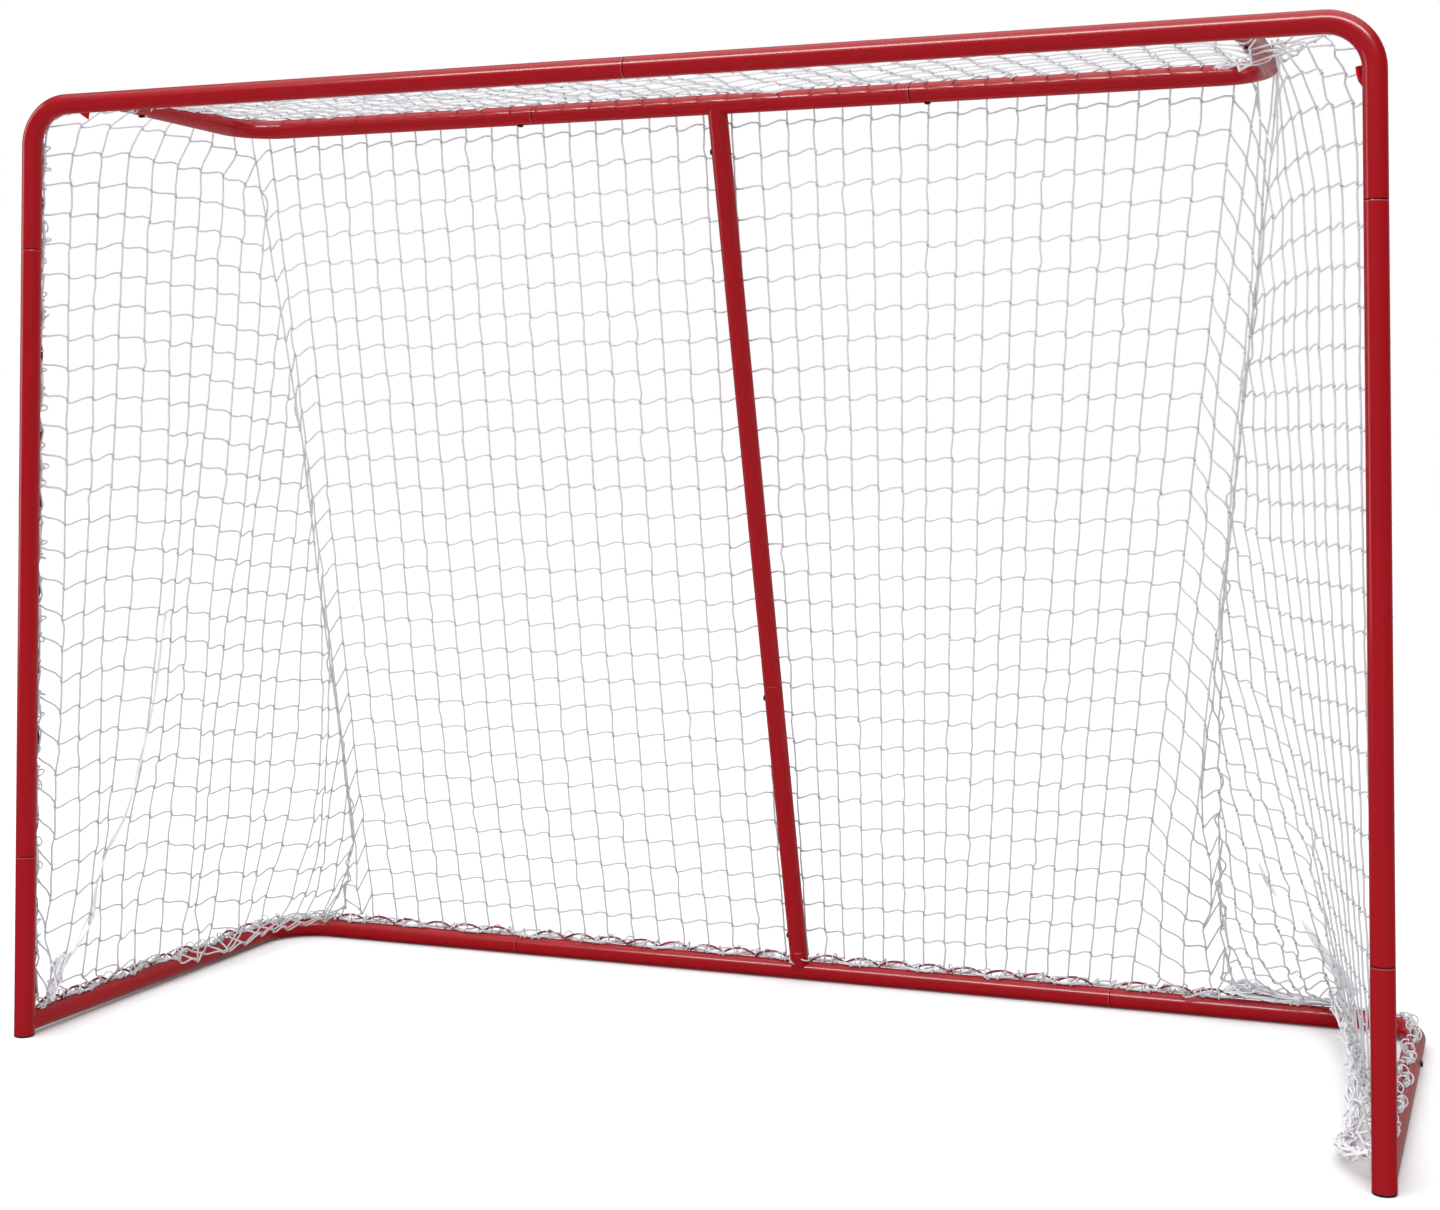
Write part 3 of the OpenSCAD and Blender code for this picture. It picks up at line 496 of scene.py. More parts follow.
def behind_post(p, reach):
    """Moves points back until they are at least reach behind the centre post's axis, square to the back."""
    short = np.maximum(reach - (p - centre_axis[0]) @ BACK_OUT, 0)
    return p + short[:, None] * BACK_OUT


PASSES = 2600
SETTLE = 700                  # last passes, without gravity
FALL = 2.2e-6                 # metres that a loose knot gains on each pass
TOP_FALL = 0.1                # share of it that the knots of the top get, whose cords are taut
DRIFT = [0.35, 0.35, 0.12]    # and how far each knot strays at random, as a share of it
KEPT_SPEED = 0.985            # from one pass to the next
LONGEST_STEP = 0.002
TUBE_CHECK = 4                # the tubes push the knots out on each fourth pass and on the last ones
LAST_CHECKS = 40


def rest(x, tied, links, lengths):
    """Knots at rest: every pass adds gravity, then shortens each group of links that are too long.

    links is a list of groups of pairs in which no knot is met twice, and lengths holds one length per pair.
    """
    was = x.copy()
    free = ~tied
    sideways = rng.normal(0, 1, x.shape) * DRIFT * FALL
    fall = np.where(np.isin(np.arange(len(x)), top[1:]), TOP_FALL, 1.0) * FALL
    for step in range(PASSES):
        if step < PASSES - SETTLE:
            move = (x - was) * KEPT_SPEED + sideways
            move[:, 2] -= fall
            was = x.copy()
            x[free] += np.clip(move[free], -LONGEST_STEP, LONGEST_STEP)
        for pair, length in zip(links, lengths):
            a, b = pair[:, 0], pair[:, 1]
            d = x[b] - x[a]
            size = np.linalg.norm(d, axis=1)
            pull = np.maximum(size - length, 0) / np.maximum(size, 1e-9)
            wa, wb = free[a].astype(float), free[b].astype(float)
            d *= (pull / np.maximum(wa + wb, 1))[:, None]
            np.add.at(x, a, d * wa[:, None])
            np.add.at(x, b, -d * wb[:, None])
        if step % TUBE_CHECK == 0 or step > PASSES - LAST_CHECKS:
            x[middle] = behind_post(x[middle], TUBE_R)
            x[free] = pushed_out(x[free], CORD_R)
            x[near_bar, 2] = np.maximum(x[near_bar, 2], TOP_Z + BAR_LIFT)
            x[:, 2] = np.maximum(x[:, 2], CORD_R)
    return x


# %% Lengths of the cords
def groups(p, place_of):
    """Two groups of pairs by whether the place of the first knot is even or odd."""
    even = place_of[p[:, 0]] % 2 == 0
    return [p[even], p[~even]]


row_of, column_of = np.zeros((2, len(knots)), int)
for cells, first_row, first_column in ((grid, 0, 0), (top[1:, 1:-1], 1, 0), (extra, 0, RIGHT_EDGE + 1)):
    rows, columns = np.indices(cells.shape)
    row_of[cells], column_of[cells] = rows + first_row, columns + first_column
for edge in (LEFT_EDGE, RIGHT_EDGE):
    column_of[grid[:, edge]] = edge
links = []
for down, across in ((grid_down, grid_across), (top_down, top_across), (extra_down, extra_across)):
    links += groups(down, row_of) + groups(across, column_of)
kinds = np.repeat([CORD_COLUMN, CORD_ROW, CORD_TOP, CORD_ROW, CORD_EXTRA, CORD_ROW], 2)
tied_lengths = [rng.normal(kind, CORD_SPREAD, len(p)) for kind, p in zip(kinds, links)]
# The right side's columns hang straight between their ends: their slack lies in the gathered foot.
STRAIGHT_SLACK, SHORTEST, LONGEST = 1.015, 0.010, 0.0425
for pair, length in zip(links[:2], tied_lengths[:2]):
    right_side = (column_of[pair] > RIGHT_EDGE).any(1)
    straight = np.linalg.norm(knots[pair[:, 1]] - knots[pair[:, 0]], axis=1)
    length[right_side] = np.clip(straight[right_side] * STRAIGHT_SLACK, SHORTEST, LONGEST)
# Beside the right crease the net hangs lower, so the top's last cords reach further, over the shelf's bar.
OVER_SHELF = 0.092
for pair, length in zip(links[4:6], tied_lengths[4:6]):
    length[np.isin(pair, grid[0, RIGHT_EDGE - NOT_ON_SHELF:RIGHT_EDGE]).any(1)] = OVER_SHELF
knots = rest(knots, tied, links, tied_lengths)
stretch = [float(np.percentile(np.linalg.norm(knots[p[:, 1]] - knots[p[:, 0]], axis=1) / n, 99))
           for p, n in zip(links, tied_lengths)]
print("net: longest 1% of the cords over their length, by group:", [round(s, 3) for s in stretch])

# %% [markdown]
# ## Cords between the knots
# A cord of length L between knots at distance d bows by a half wave and a whole wave. Their amplitudes A1 and
# A2 give the right length when pi^2 (A1^2 + 4 A2^2) / (4 d) = L - d.
#
# A knot in such a net is about 5 mm long and lies along the column: the cord from the left goes in at its
# top, and the cord to the right leaves at its bottom. So every mesh is a brick with slanted rows, and each
# row cord dips where it leaves a knot and arches where it reaches the next.

# %% Cords
CORD_SHARES = np.array([0, 0.03, 0.27, 0.5, 0.73, 0.97, 1])     # of a cord's length, where it gets a ring
LEAST_SLACK, SLACK_SHOWN = 0.00005, 0.0013             # more slack than this gathers at the knots
SHORTEST_CORD = 0.004
KNOT_R, KNOT_CORD_R = 0.0017, 0.00105                  # of the loops in a knot, and of their cord
KNOT_HALF, KNOT_HALF_SPREAD = 0.0025, 0.0008           # half of a knot's length
KNOT_POINTS = 8
HALF_WAVE_SHARE = (0.25, 0.95)                         # of a cord's slack, the least and the most
LEAN_SPREAD, SECOND_LEAN_SPREAD = 0.55, 0.6            # how the two waves turn away from their direction
DIP_BOW = 0.5                                          # what a cord that dips keeps of its half wave
BACK_UP = unit(centre_axis[0] - centre_axis[1])


def bowed(a, b, length, up_share, most=SLACK_SHOWN, dip=None):
    """Paths from points a to points b that are length long, as n x 7 x 3, with no more slack than most.

    With a direction dip, each path swings that way in its first half and back in its second.
    """
    d = b - a
    size = np.maximum(np.linalg.norm(d, axis=1), SHORTEST_CORD)
    slack = np.clip(length - size, LEAST_SLACK, most)
    mix = rng.uniform(*HALF_WAVE_SHARE, len(a))
    first = np.sqrt(4 * size * slack * mix) / np.pi
    second = np.sqrt(size * slack * (1 - mix)) / np.pi * rng.choice([-1, 1], len(a))
    along_cord = unit(d)
    lean = unit(Z * up_share + rng.normal(0, LEAN_SPREAD, d.shape))
    lean = unit(lean - (lean * along_cord).sum(1, keepdims=True) * along_cord)
    lean2 = unit(np.cross(along_cord, lean) * rng.normal(0, SECOND_LEAN_SPREAD, (len(a), 1)) + lean)
    if dip is not None:
        first, second, lean2 = first * DIP_BOW, np.abs(second), np.broadcast_to(dip, lean2.shape)
    s = CORD_SHARES[None, :, None]
    path = a[:, None] + d[:, None] * s
    path = path + (first[:, None] * lean)[:, None] * np.sin(np.pi * s)
    return path + (second[:, None] * lean2)[:, None] * np.sin(2 * np.pi * s)


# %% Knots
def knot_paths(points, radius, count=15, stretch=(0, 0, 0)):
    """A knot's closed loop round each point: a trefoil, turned at random and drawn out along stretch."""
    a = np.linspace(0, 2 * np.pi, count, endpoint=False)
    loop = np.stack([np.sin(a) + 2 * np.sin(2 * a), np.cos(a) - 2 * np.cos(2 * a), -1.1 * np.sin(3 * a)], 1)
    turn, tip = rng.uniform(0, 2 * np.pi, len(points)), rng.normal(0, 0.5, len(points))
    c, s, ct, st = np.cos(turn), np.sin(turn), np.cos(tip), np.sin(tip)
    rows = ((c, -s * ct, s * st), (np.zeros_like(c), st, ct), (s, c * ct, -c * st))
    spin = np.stack([np.stack(entries, 1) for entries in rows], 1)
    loops = radius * np.einsum("nij,mj->nmi", spin, loop / 3)
    stretch = np.array(stretch, float)
    return points[:, None] + loops + (loops @ unit(stretch))[..., None] * stretch


# %% Panels of net
BEFORE_SHELF = 0.05           # how far in front of the bar's axis the cords are lifted
LEAST_LIFT = 0.003            # and how far over it at the least


def over_shelf(paths):
    """Lifts the points of paths that lie at the shelf's rear bar, or just in front of it, over that bar."""
    reach = TUBE_R + CORD_R
    off = paths[..., 1] - SHELF_Y
    height = TOP_Z + np.sqrt(np.maximum(reach ** 2 - off ** 2, LEAST_LIFT ** 2))
    near = (off > -BEFORE_SHELF) & (off < reach)
    paths[..., 2] = np.where(near, np.maximum(paths[..., 2], height), paths[..., 2])
    return paths


ROW_EXTRA, COLUMN_EXTRA = 0.0012, 0.0001     # length that a cord's bow shows beyond what was tied
COLUMN_SKIPS = 3              # columns are nearly straight, so they do without the ring in the middle
KNOT_STRETCH = 0.7            # share by which a knot is drawn out along its column
RIGHT_SLACK = 2               # the right side's rows show this many times the slack of the others


def net_panel(name, across, down, owned, up):
    """One panel of net: its cords and the knots that it owns. Its knots lie along the direction up."""
    most = RIGHT_SLACK * SLACK_SHOWN if name == "net_panel_right" else SLACK_SHOWN
    half = (knot_half[:, None] * up)[across]
    start, end = knots[across[:, 0]] - half[:, 0], knots[across[:, 1]] + half[:, 1]
    rows = bowed(start, end, CORD_ROW + ROW_EXTRA, 1.0, most, -up)
    columns = bowed(knots[down[:, 0]], knots[down[:, 1]], CORD_COLUMN + COLUMN_EXTRA, 0.0)
    if name == "net_panel_top":
        columns = over_shelf(columns)
    rows, columns = pushed_out(rows, CORD_R), pushed_out(columns, CORD_R)
    columns = np.delete(columns, COLUMN_SKIPS, 1)
    tied_knots = knot_paths(knots[owned], KNOT_R, KNOT_POINTS, KNOT_STRETCH * up)
    obj = mesh_object(name, *joined([tubes(rows, CORD_R, 5), tubes(columns, CORD_R, 5),
                                     tubes(tied_knots, KNOT_CORD_R, 3, True)]))
    print(f"{name}: {len(rows) + len(columns)} cords, {len(owned)} knots")
    return obj


# %% The four panels
def side_of(p):
    """-1, 0 or 1 for pairs of the left side, the back and the right side."""
    c = column_of[p].astype(float).mean(1)
    return np.where(c < LEFT_EDGE, -1, np.where(c > RIGHT_EDGE, 1, 0))


knot_half = np.random.default_rng(7).normal(KNOT_HALF, KNOT_HALF_SPREAD, len(knots))
on_crease = (row_of > 0) & (row_of < ROWS) & np.isin(column_of, (LEFT_EDGE, RIGHT_EDGE))
NO_SIDE = 9                   # for the knots of the top and of the two extra rows
knot_side = np.full(len(knots), NO_SIDE)
knot_side[np.unique(grid)] = side_of(np.unique(grid)[:, None])
net = {}
for word, which, up in (("left", -1, Z), ("right", 1, Z), ("back", 0, BACK_UP)):
    owned = np.nonzero((knot_side == which) & (~tied | on_crease))[0]
    across, down = [p[side_of(p) == which] for p in (grid_across, grid_down)]
    if word == "right":
        across, down = np.concatenate([across, extra_across[:, ::-1]]), np.concatenate([down, extra_down])
        owned = np.union1d(owned, extra[1, 1:])
    net[word] = net_panel("net_panel_" + word, across, down, owned, up)
    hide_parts("net_" + word)
net["top"] = net_panel("net_panel_top", top_across, top_down, top[1:-1, 1:-1].ravel(), -Y)
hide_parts("net_top")

# %% [markdown]
# ## Border cord
# A thicker cord runs along the net's edges and weaves through the arches of the wavy wires. It keeps its
# distance from the tube's axis and swings from one side to the other, so that it passes under an arch each
# time it crosses the wire. Loops of thin cord lace it to the net, as closed rings that differ by chance.

# %% Border cord
BORDER_R = 0.0019
BORDER_OUT = TUBE_R + 0.0026  # from a tube's axis
SWING = math.radians(18)      # how far it turns round the axis to either side
SWING_SPREAD = 0.03
WOVEN_STEP = 0.006


def woven(axis, out):
    """Path at BORDER_OUT from an axis, turned from its out side by SWING cos(pi s / ROD_PITCH)."""
    length = path_length(axis)
    s = np.linspace(0, length, int(length / WOVEN_STEP))
    p = along(axis, s)
    t = unit(np.gradient(p, axis=0))
    side = np.cross(t, np.broadcast_to(out, p.shape))
    angle = SWING * np.cos(np.pi * s / ROD_PITCH) + rng.normal(0, SWING_SPREAD, len(s))
    return p + BORDER_OUT * (out * np.cos(angle)[:, None] + side * np.sin(angle)[:, None])


BORDER_START_X, BORDER_FOOT_Z, BORDER_RAIL_START = -0.735, 0.036, 0.018
left_turn, right_turn = front_axis[1:1 + ARC_POINTS], front_axis[1 + ARC_POINTS:-1]
turn_end = 8                  # point of the right bend where the bar's cord ends and the post's begins
bar_axis = np.concatenate([[[BORDER_START_X, POST_Y, TOP_Z]], right_turn[:turn_end + 1]])
left_post_axis = np.concatenate([left_turn[:2:-1], [[-POST_X, POST_Y, BORDER_FOOT_Z]]])
right_post_axis = np.concatenate([right_turn[turn_end:], [[POST_X, POST_Y, BORDER_FOOT_Z]]])
base_path = base_axis.copy()
base_path[[0, -1], 1] += BORDER_RAIL_START
border_paths = {"top": woven(bar_axis, Y), "left": woven(left_post_axis, Y),
                "right": woven(right_post_axis, Y), "base": woven(base_path, Z)}

# %% Lacing loops
def sides_of(t, helper):
    """Two directions square to the tangents t and to each other, the first one also square to helper."""
    n = unit(np.cross(t, helper))
    return n, np.cross(t, n)


RING_POINTS = 10
RING_STRAY = 0.12             # how far a ring strays along the cord, as a share of the spacing
RING_SIZES = (0.92, 1.25)     # least and greatest, as a share of the radius
HALF_STEP = 0.002             # to either side of a point, to find the direction of its path


def rings_on(path, spacing, radius, lift=(0, 0, 0), jitter=0.25):
    """Loops of thin cord round a thicker one, P + size (N cos a + B sin a), each a little askew."""
    length = path_length(path)
    s = np.arange(spacing / 2, length, spacing)
    s = s + rng.normal(0, spacing * RING_STRAY, len(s))
    p = along(path, s)
    t = unit(along(path, s + HALF_STEP) - along(path, s - HALF_STEP))
    t = unit(t + rng.normal(0, jitter, p.shape))
    n, b = sides_of(t, Z + 0.3 * Y)
    a = np.linspace(0, 2 * np.pi, RING_POINTS, endpoint=False)[None, :, None]
    size = radius * rng.uniform(*RING_SIZES, (len(s), 1, 1))
    loops = p[:, None] + lift + size * (n[:, None] * np.cos(a) + b[:, None] * np.sin(a))
    return tubes(pushed_out(loops, KNOT_CORD_R), KNOT_CORD_R, 5, True)


border = {}
for word, path in border_paths.items():
    out = Z if word == "base" else Y
    parts = [tubes(path[None], BORDER_R, 8),
             rings_on(path, spacing=0.0195, radius=0.0031),
             rings_on(path, spacing=0.0243, radius=0.0060, lift=0.0032 * out, jitter=0.5)]
    border[word] = mesh_object("border_rope_" + word, *joined(parts))
    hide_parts("border_cord_" + word)

# %% [markdown]
# ## Gathered net
# Where the net has more cord than the frame takes up, it hangs in bundles. No two tangles are alike, so what
# counts is their place and bulk. `bundle` winds many cords about one path, `gathered_strip` draws a strip of
# net together along it, and `tangle` fills a lump with loops.

# %% Bundles
BUNDLE_STEP, LEAST_POINTS = 0.007, 8
TURN_LENGTH, WAVE_LENGTH = 0.3, 0.11          # of path for one turn at twist 1, and for one wave
LEAST_REACH = 0.05            # least square of a cord's distance from the path, where the radius is 1
TWIST_SPREAD = 0.6
PHASES = 6.3                  # random phases lie between 0 and this, about a full turn in radians
ASKEW = Z + 0.2 * X           # no bundle runs this way


def laid(p, cord_r, lift=0.0):
    """Points of a cord, pushed out of the tubes and kept above the floor."""
    p = pushed_out(p, cord_r)
    p[..., 2] = np.maximum(p[..., 2], cord_r + lift)
    return p


def bundle(points, radii, count, cord_r, twist=1.5, loose_share=0.35):
    """Cords that follow a path inside a given radius, as P = centre + q (N cos a + B sin a).

    Each cord has its own slow spiral in the angle a, and its own waves in the distance q.
    """
    length = path_length(points)
    m = max(int(length / BUNDLE_STEP), LEAST_POINTS)
    s = np.linspace(0, length, m)
    centre = along(points, s)
    width = np.interp(s / length, np.linspace(0, 1, len(radii)), radii)
    n, b = sides_of(unit(np.gradient(centre, axis=0)), ASKEW)
    phase = rng.uniform(0, 2 * np.pi, (count, 1))
    reach = np.sqrt(rng.uniform(LEAST_REACH, 1, (count, 1)))
    turns = twist * rng.normal(1, TWIST_SPREAD, (count, 1)) * length / TURN_LENGTH
    a = phase + 2 * np.pi * turns * (s / length)
    waves = 2 * np.pi * (s / length) * length / WAVE_LENGTH
    wave = sum(np.sin(k * waves + rng.uniform(0, PHASES, (count, 1))) * rng.uniform(0.3, 1, (count, 1)) / k
               for k in (1, 2, 3))
    q = width * (reach + loose_share * 0.5 * wave)
    p = centre + (n * np.cos(a)[..., None] + b * np.sin(a)[..., None]) * q[..., None]
    return tubes(laid(p, cord_r), cord_r, 5)


# %% A strip drawn together
STRIP_SLACK = 0.0065          # its cords show this much slack
STRIP_UP = 0.4                # and bow upwards this much
STRIP_STRAY = 0.22            # how far its knots stray along it, as a share of a mesh
HOME_SPREAD = 0.5             # how far they stray from their column's side, in radians
STRIP_REACH = (0.25, 1.0)     # their least and greatest distance from the path, as a share of the radius
STRIP_LIFT = 0.001            # of its knots over the floor
DOWN_LENGTH, ACROSS_LENGTH = 1.02, 0.8        # its cords along the path and across it, in meshes


def gathered_strip(points, radii, columns, cord_r, flat, mesh=0.036):
    """A strip of net drawn together into a bundle: its knots wander inside the radius, its cords bulge out.

    The knots of a column lie about a mesh apart along the path. Off it they stand by a random share of the
    radius, to the side that their column keeps to. Cords across the strip are far longer than the gaps that
    they span, so they stand out as loops.
    """
    length = path_length(points)
    m = max(int(length / mesh), 3) + 1
    s = np.linspace(0, length, m)[None] + rng.normal(0, mesh * STRIP_STRAY, (columns, m))
    centre = along(points, np.clip(s, 0, length))
    after, before = [along(points, np.clip(s + step, 0, length)) for step in (2 * HALF_STEP, -2 * HALF_STEP)]
    n, b = sides_of(unit(after - before), ASKEW)
    width = np.interp(s / length, np.linspace(0, 1, len(radii)), radii)
    home = rng.uniform(0, 2 * np.pi, (columns, 1)) + rng.normal(0, HOME_SPREAD, (columns, m))
    reach = rng.uniform(*STRIP_REACH, (columns, m)) * width
    p = centre + n * (np.cos(home) * reach)[..., None] + b * (np.sin(home) * reach * flat)[..., None]
    p = laid(p, cord_r, STRIP_LIFT)
    ends = ((p[:, :-1], p[:, 1:], mesh * DOWN_LENGTH), (p[:-1], p[1:], mesh * ACROSS_LENGTH))
    paths = np.concatenate([bowed(start.reshape(-1, 3), end.reshape(-1, 3), long, STRIP_UP, STRIP_SLACK)
                            for start, end, long in ends])
    knot_loops = knot_paths(p.reshape(-1, 3), KNOT_R)
    return joined([tubes(laid(paths, cord_r), cord_r, 5), tubes(knot_loops, KNOT_CORD_R, 4, True)])


# %% A tangle
LOOP_POINTS = 34
WAVES, WAVE_DECAY = (1, 2, 3), 0.6
HOLD = 0.8                    # how strongly the loops are held inside


def tangle(centre, size, count, cord_r):
    """A knotted lump: random loops P, a sum of sines, held in an ellipsoid as P / |P| tanh(HOLD |P|)."""
    s = np.linspace(0, 2 * np.pi, LOOP_POINTS)[None, :, None]
    p = sum(rng.normal(0, 1, (count, 1, 3)) * np.sin(k * s + rng.uniform(0, PHASES, (count, 1, 3)))
            / k ** WAVE_DECAY for k in WAVES)
    reach = np.linalg.norm(p, axis=2, keepdims=True)
    p = p / np.maximum(reach, 1e-6) * np.tanh(reach * HOLD)
    return tubes(laid(centre + p * size, cord_r), cord_r, 5)


# %% [markdown]
# ### The gathered foot
# The right side has more net than its post takes up, and its foot is drawn to the post and not laced to the
# rail. So it lies on the floor as one long bundle inside the rail. Its route is a list of given points,
# because no rule gives how a net was pulled tight.

# %% Gathered foot
def at(*points):
    """Points given in millimetres as x, y behind the posts' axis, z, as an array in metres."""
    return np.squeeze(np.array(points, float)) / 1000 + [0, POST_Y, 0]


THIN, PLAIN, THICK = 0.0012, 0.0013, 0.0014   # radii of the cords in bundles, whose fibres are fluffed up
gather_route = at((714, 592, 50), (723, 572, 38), (736, 525, 26), (745, 470, 20), (751, 400, 16),
                  (755, 353, 14), (761, 280, 12), (766, 224, 12), (768, 169, 12), (766, 111, 14),
                  (764, 80, 16))
gather_band = at((764, 80, 16), (773, 52, 20), (785, 34, 25), (799, 20, 31))
beside_rail = at((776, 560, 26), (780, 450, 22), (783, 330, 20), (786, 200, 18), (791, 100, 19),
                 (799, 40, 26))
gather_parts = [
    gathered_strip(gather_route, [0.016, 0.014, 0.009, 0.008, 0.008, 0.009, 0.012], 9, PLAIN, flat=0.8),
    gathered_strip(gather_route, [0.012, 0.009, 0.006, 0.006, 0.006, 0.008], 7, PLAIN, flat=0.8, mesh=0.024),
    bundle(gather_route, [0.010, 0.007, 0.0045, 0.004, 0.004, 0.005, 0.008], 12, PLAIN, twist=0.8),
    gathered_strip(gather_band, [0.010, 0.008, 0.007], 9, THIN, flat=0.8, mesh=0.014),
    gathered_strip(beside_rail, [0.014, 0.018, 0.018, 0.016, 0.012], 3, THICK, flat=0.5),
    tangle(gather_route[-1], (0.012, 0.010, 0.012), 8, PLAIN)]
gather = mesh_object("net_gathered_foot", *joined(gather_parts))
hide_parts("net_gather")

# %% [markdown]
# ### Gathered edges
# Slack also gathers in other places: in a fan of cords down to the right rear corner, in a lump on the rear
# bar, in a fold of the left side, and in the mass beside the left post in which the fold ends.

# %% Gathered edges
def on_back(out, *points):
    """Points given in millimetres as x, z in the back's plane, at a distance out behind its tubes' axes."""
    return in_back(*np.array(points, float).T / 1000, out)


# On the left side a fold runs down between the columns; these are its places in columns at some rows.
FOLD_ROWS, FOLD_COLUMNS = [17, 24, 27, 30], [5.5, 4.7, 3.2, 1.0]
fold_rows = np.arange(FOLD_ROWS[0], ROWS)
fold_columns = np.interp(fold_rows, FOLD_ROWS, FOLD_COLUMNS)
whole = np.floor(fold_columns).astype(int)
part = (fold_columns - whole)[:, None]
fold_line = knots[grid[fold_rows, whole]] * (1 - part) + knots[grid[fold_rows, whole + 1]] * part
left_mass = at((-795, 36, 62))
fold_line = np.concatenate([fold_line, [left_mass + [0.004, 0.004, 0.012]]])
left_strip = left_mass + [[0.006, 0.004, 0.030], [0, 0, 0], [-0.004, 0, -0.022]]
pulled = on_back(0.002, (666, 138), (677, 120), (691, 99), (705, 79), (718, 60), (731, 46)) + 0.010 * X
pulled_cords = on_back(0.004, (626, 210), (634, 188), (646, 166))
rear_right = at((576, 612, 36), (592, 612, 40), (612, 612, 38), (642, 612, 33), (680, 612, 32),
                (722, 606, 34))
lump = at((606, 610, 44))
bundles = [
    bundle(pulled, [0.001, 0.004, 0.005, 0.006, 0.007, 0.009], 26, THICK, twist=0.5, loose_share=0.2),
    bundle(pulled_cords, [0.0008, 0.003, 0.0008], 8, THIN, twist=0.5, loose_share=0.2),
    bundle(rear_right, [0.004, 0.011, 0.009, 0.004, 0.0025, 0.004], 18, PLAIN, twist=0.6, loose_share=0.2),
    gathered_strip(rear_right, [0.006, 0.009, 0.006, 0.004, 0.004, 0.007], 4, THIN, flat=0.5, mesh=0.026),
    tangle(lump, (0.024, 0.007, 0.010), 16, PLAIN),
    gathered_strip(left_strip, [0.010, 0.014, 0.010], 8, THIN, flat=1.0, mesh=0.014),
    bundle(fold_line, [0.0012, 0.002, 0.003, 0.006], 3, THIN)]
net_bundles = mesh_object("net_gathered_edges", *joined(bundles))

# %% [markdown]
# ### Creases
# At each crease two edges of net are laced together, so nearly half of its cords have a second one beside
# them. It is longer than the first, and bows away from it.

# %% Creases
SECOND_SHARE, SECOND_LENGTH, SECOND_SLACK = 0.45, 0.047, 0.0060
crease_knots = [knots[grid[:, edge]] for edge in (LEFT_EDGE, RIGHT_EDGE)]
crease_links = [np.stack([line[:-1], line[1:]], 1) for line in crease_knots]
crease_links = [link[rng.random(len(link)) < SECOND_SHARE] for link in crease_links]
second = np.concatenate([bowed(link[:, 0], link[:, 1], SECOND_LENGTH, 0.0, SECOND_SLACK)
                         for link in crease_links])
net_seams = mesh_object("net_seams", *tubes(pushed_out(second, CORD_R), CORD_R))

# %% [markdown]
# ## Red tabs
# A folded strip of coated tape at each top corner of the net. A plane with Simple Deform and Solidify could
# make it. One function of u along it and v across it gives the same strip in its place, closed and curved.

# %% Tabs
TAB_THICK, TAB_U, TAB_V = 0.0012, 13, 7


def strip(name, line, width, bend):
    """A closed strip: P = line(u) + v width(u) + bend cos(pi v) N, for v from -1/2 to 1/2 across it."""
    p = along(line, np.linspace(0, path_length(line), TAB_U))
    w = np.stack([np.interp(np.linspace(0, 1, TAB_U), np.linspace(0, 1, len(width)), side)
                  for side in np.transpose(width)], 1)
    n = unit(np.cross(unit(np.gradient(p, axis=0)), w))[:, None]
    v = np.linspace(-0.5, 0.5, TAB_V)[None, :, None]
    sheet = p[:, None] + v * w[:, None] + bend * np.cos(np.pi * v) * n
    verts = np.concatenate([sheet + n * TAB_THICK / 2, (sheet - n * TAB_THICK / 2)[:, ::-1]], 1)
    m = 2 * TAB_V
    i, k = np.arange(TAB_U - 1)[:, None] * m, np.arange(m)[None]
    walls = np.stack([i + k, i + (k + 1) % m, i + m + (k + 1) % m, i + m + k], -1).reshape(-1, 4)
    e = np.arange(TAB_V - 1)
    end = np.stack([e, m - 1 - e, m - 2 - e, e + 1], 1)
    other_end = (end + (TAB_U - 1) * m)[:, ::-1]
    return mesh_object(name, verts.reshape(-1, 3), np.concatenate([walls, end, other_end]))


tab_left = strip("corner_tape_left", at((-759, 19, 1159), (-749, 19, 1156), (-740, 19, 1152)),
                 [[0.001, 0.003, 0.005], [0.002, 0.004, 0.012], [0.002, 0.003, 0.016]], bend=0.0015)
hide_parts("corner_tab_left")
tab_right = strip("corner_tape_right", at((796, 16, 1119), (797, 18, 1112), (799, 18, 1104), (803, 16, 1097)),
                  [[0.006, 0.010, 0.003], [0.007, 0.012, 0.002], [0.007, 0.012, 0.002],
                   [0.005, 0.008, 0.003]], bend=0.003)
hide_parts("corner_tab_right")

# %% [markdown]
# ## Materials
# Paint, plastic and cord are procedural, so nothing has to be unwrapped or painted. What several materials
# share is a node group: the orange peel of powder coat, the line where two tubes meet with its painted
# highlight, and the lay of twisted cord with its painted shade. Peel and lines follow Object coordinates, and
# the lay follows the cords' UV.

# %% Node helpers
def add(tree, kind, **settings):
    """A node with properties set and inputs given by name, _ for a space."""
    node = tree.nodes.new(kind)
    for key, value in settings.items():
        if key.replace("_", " ") in node.inputs:
            node.inputs[key.replace("_", " ")].default_value = value
        else:
            setattr(node, key, value)
    return node


def linked(tree, source, kind, slot=0, **settings):
    """A node whose input slot takes the socket source."""
    node = add(tree, kind, **settings)
    tree.links.new(source, node.inputs[slot])
    return node


def shaded(tree, colour, factor, darkest, lightest=1.0):
    """Colour times darkest where factor is 0, up to lightest where it is 1."""
    ramp = linked(tree, factor, "ShaderNodeMapRange", To_Min=darkest, To_Max=lightest)
    times = linked(tree, colour, "ShaderNodeVectorMath", operation="SCALE")
    tree.links.new(ramp.outputs[0], times.inputs["Scale"])
    return times.outputs[0]


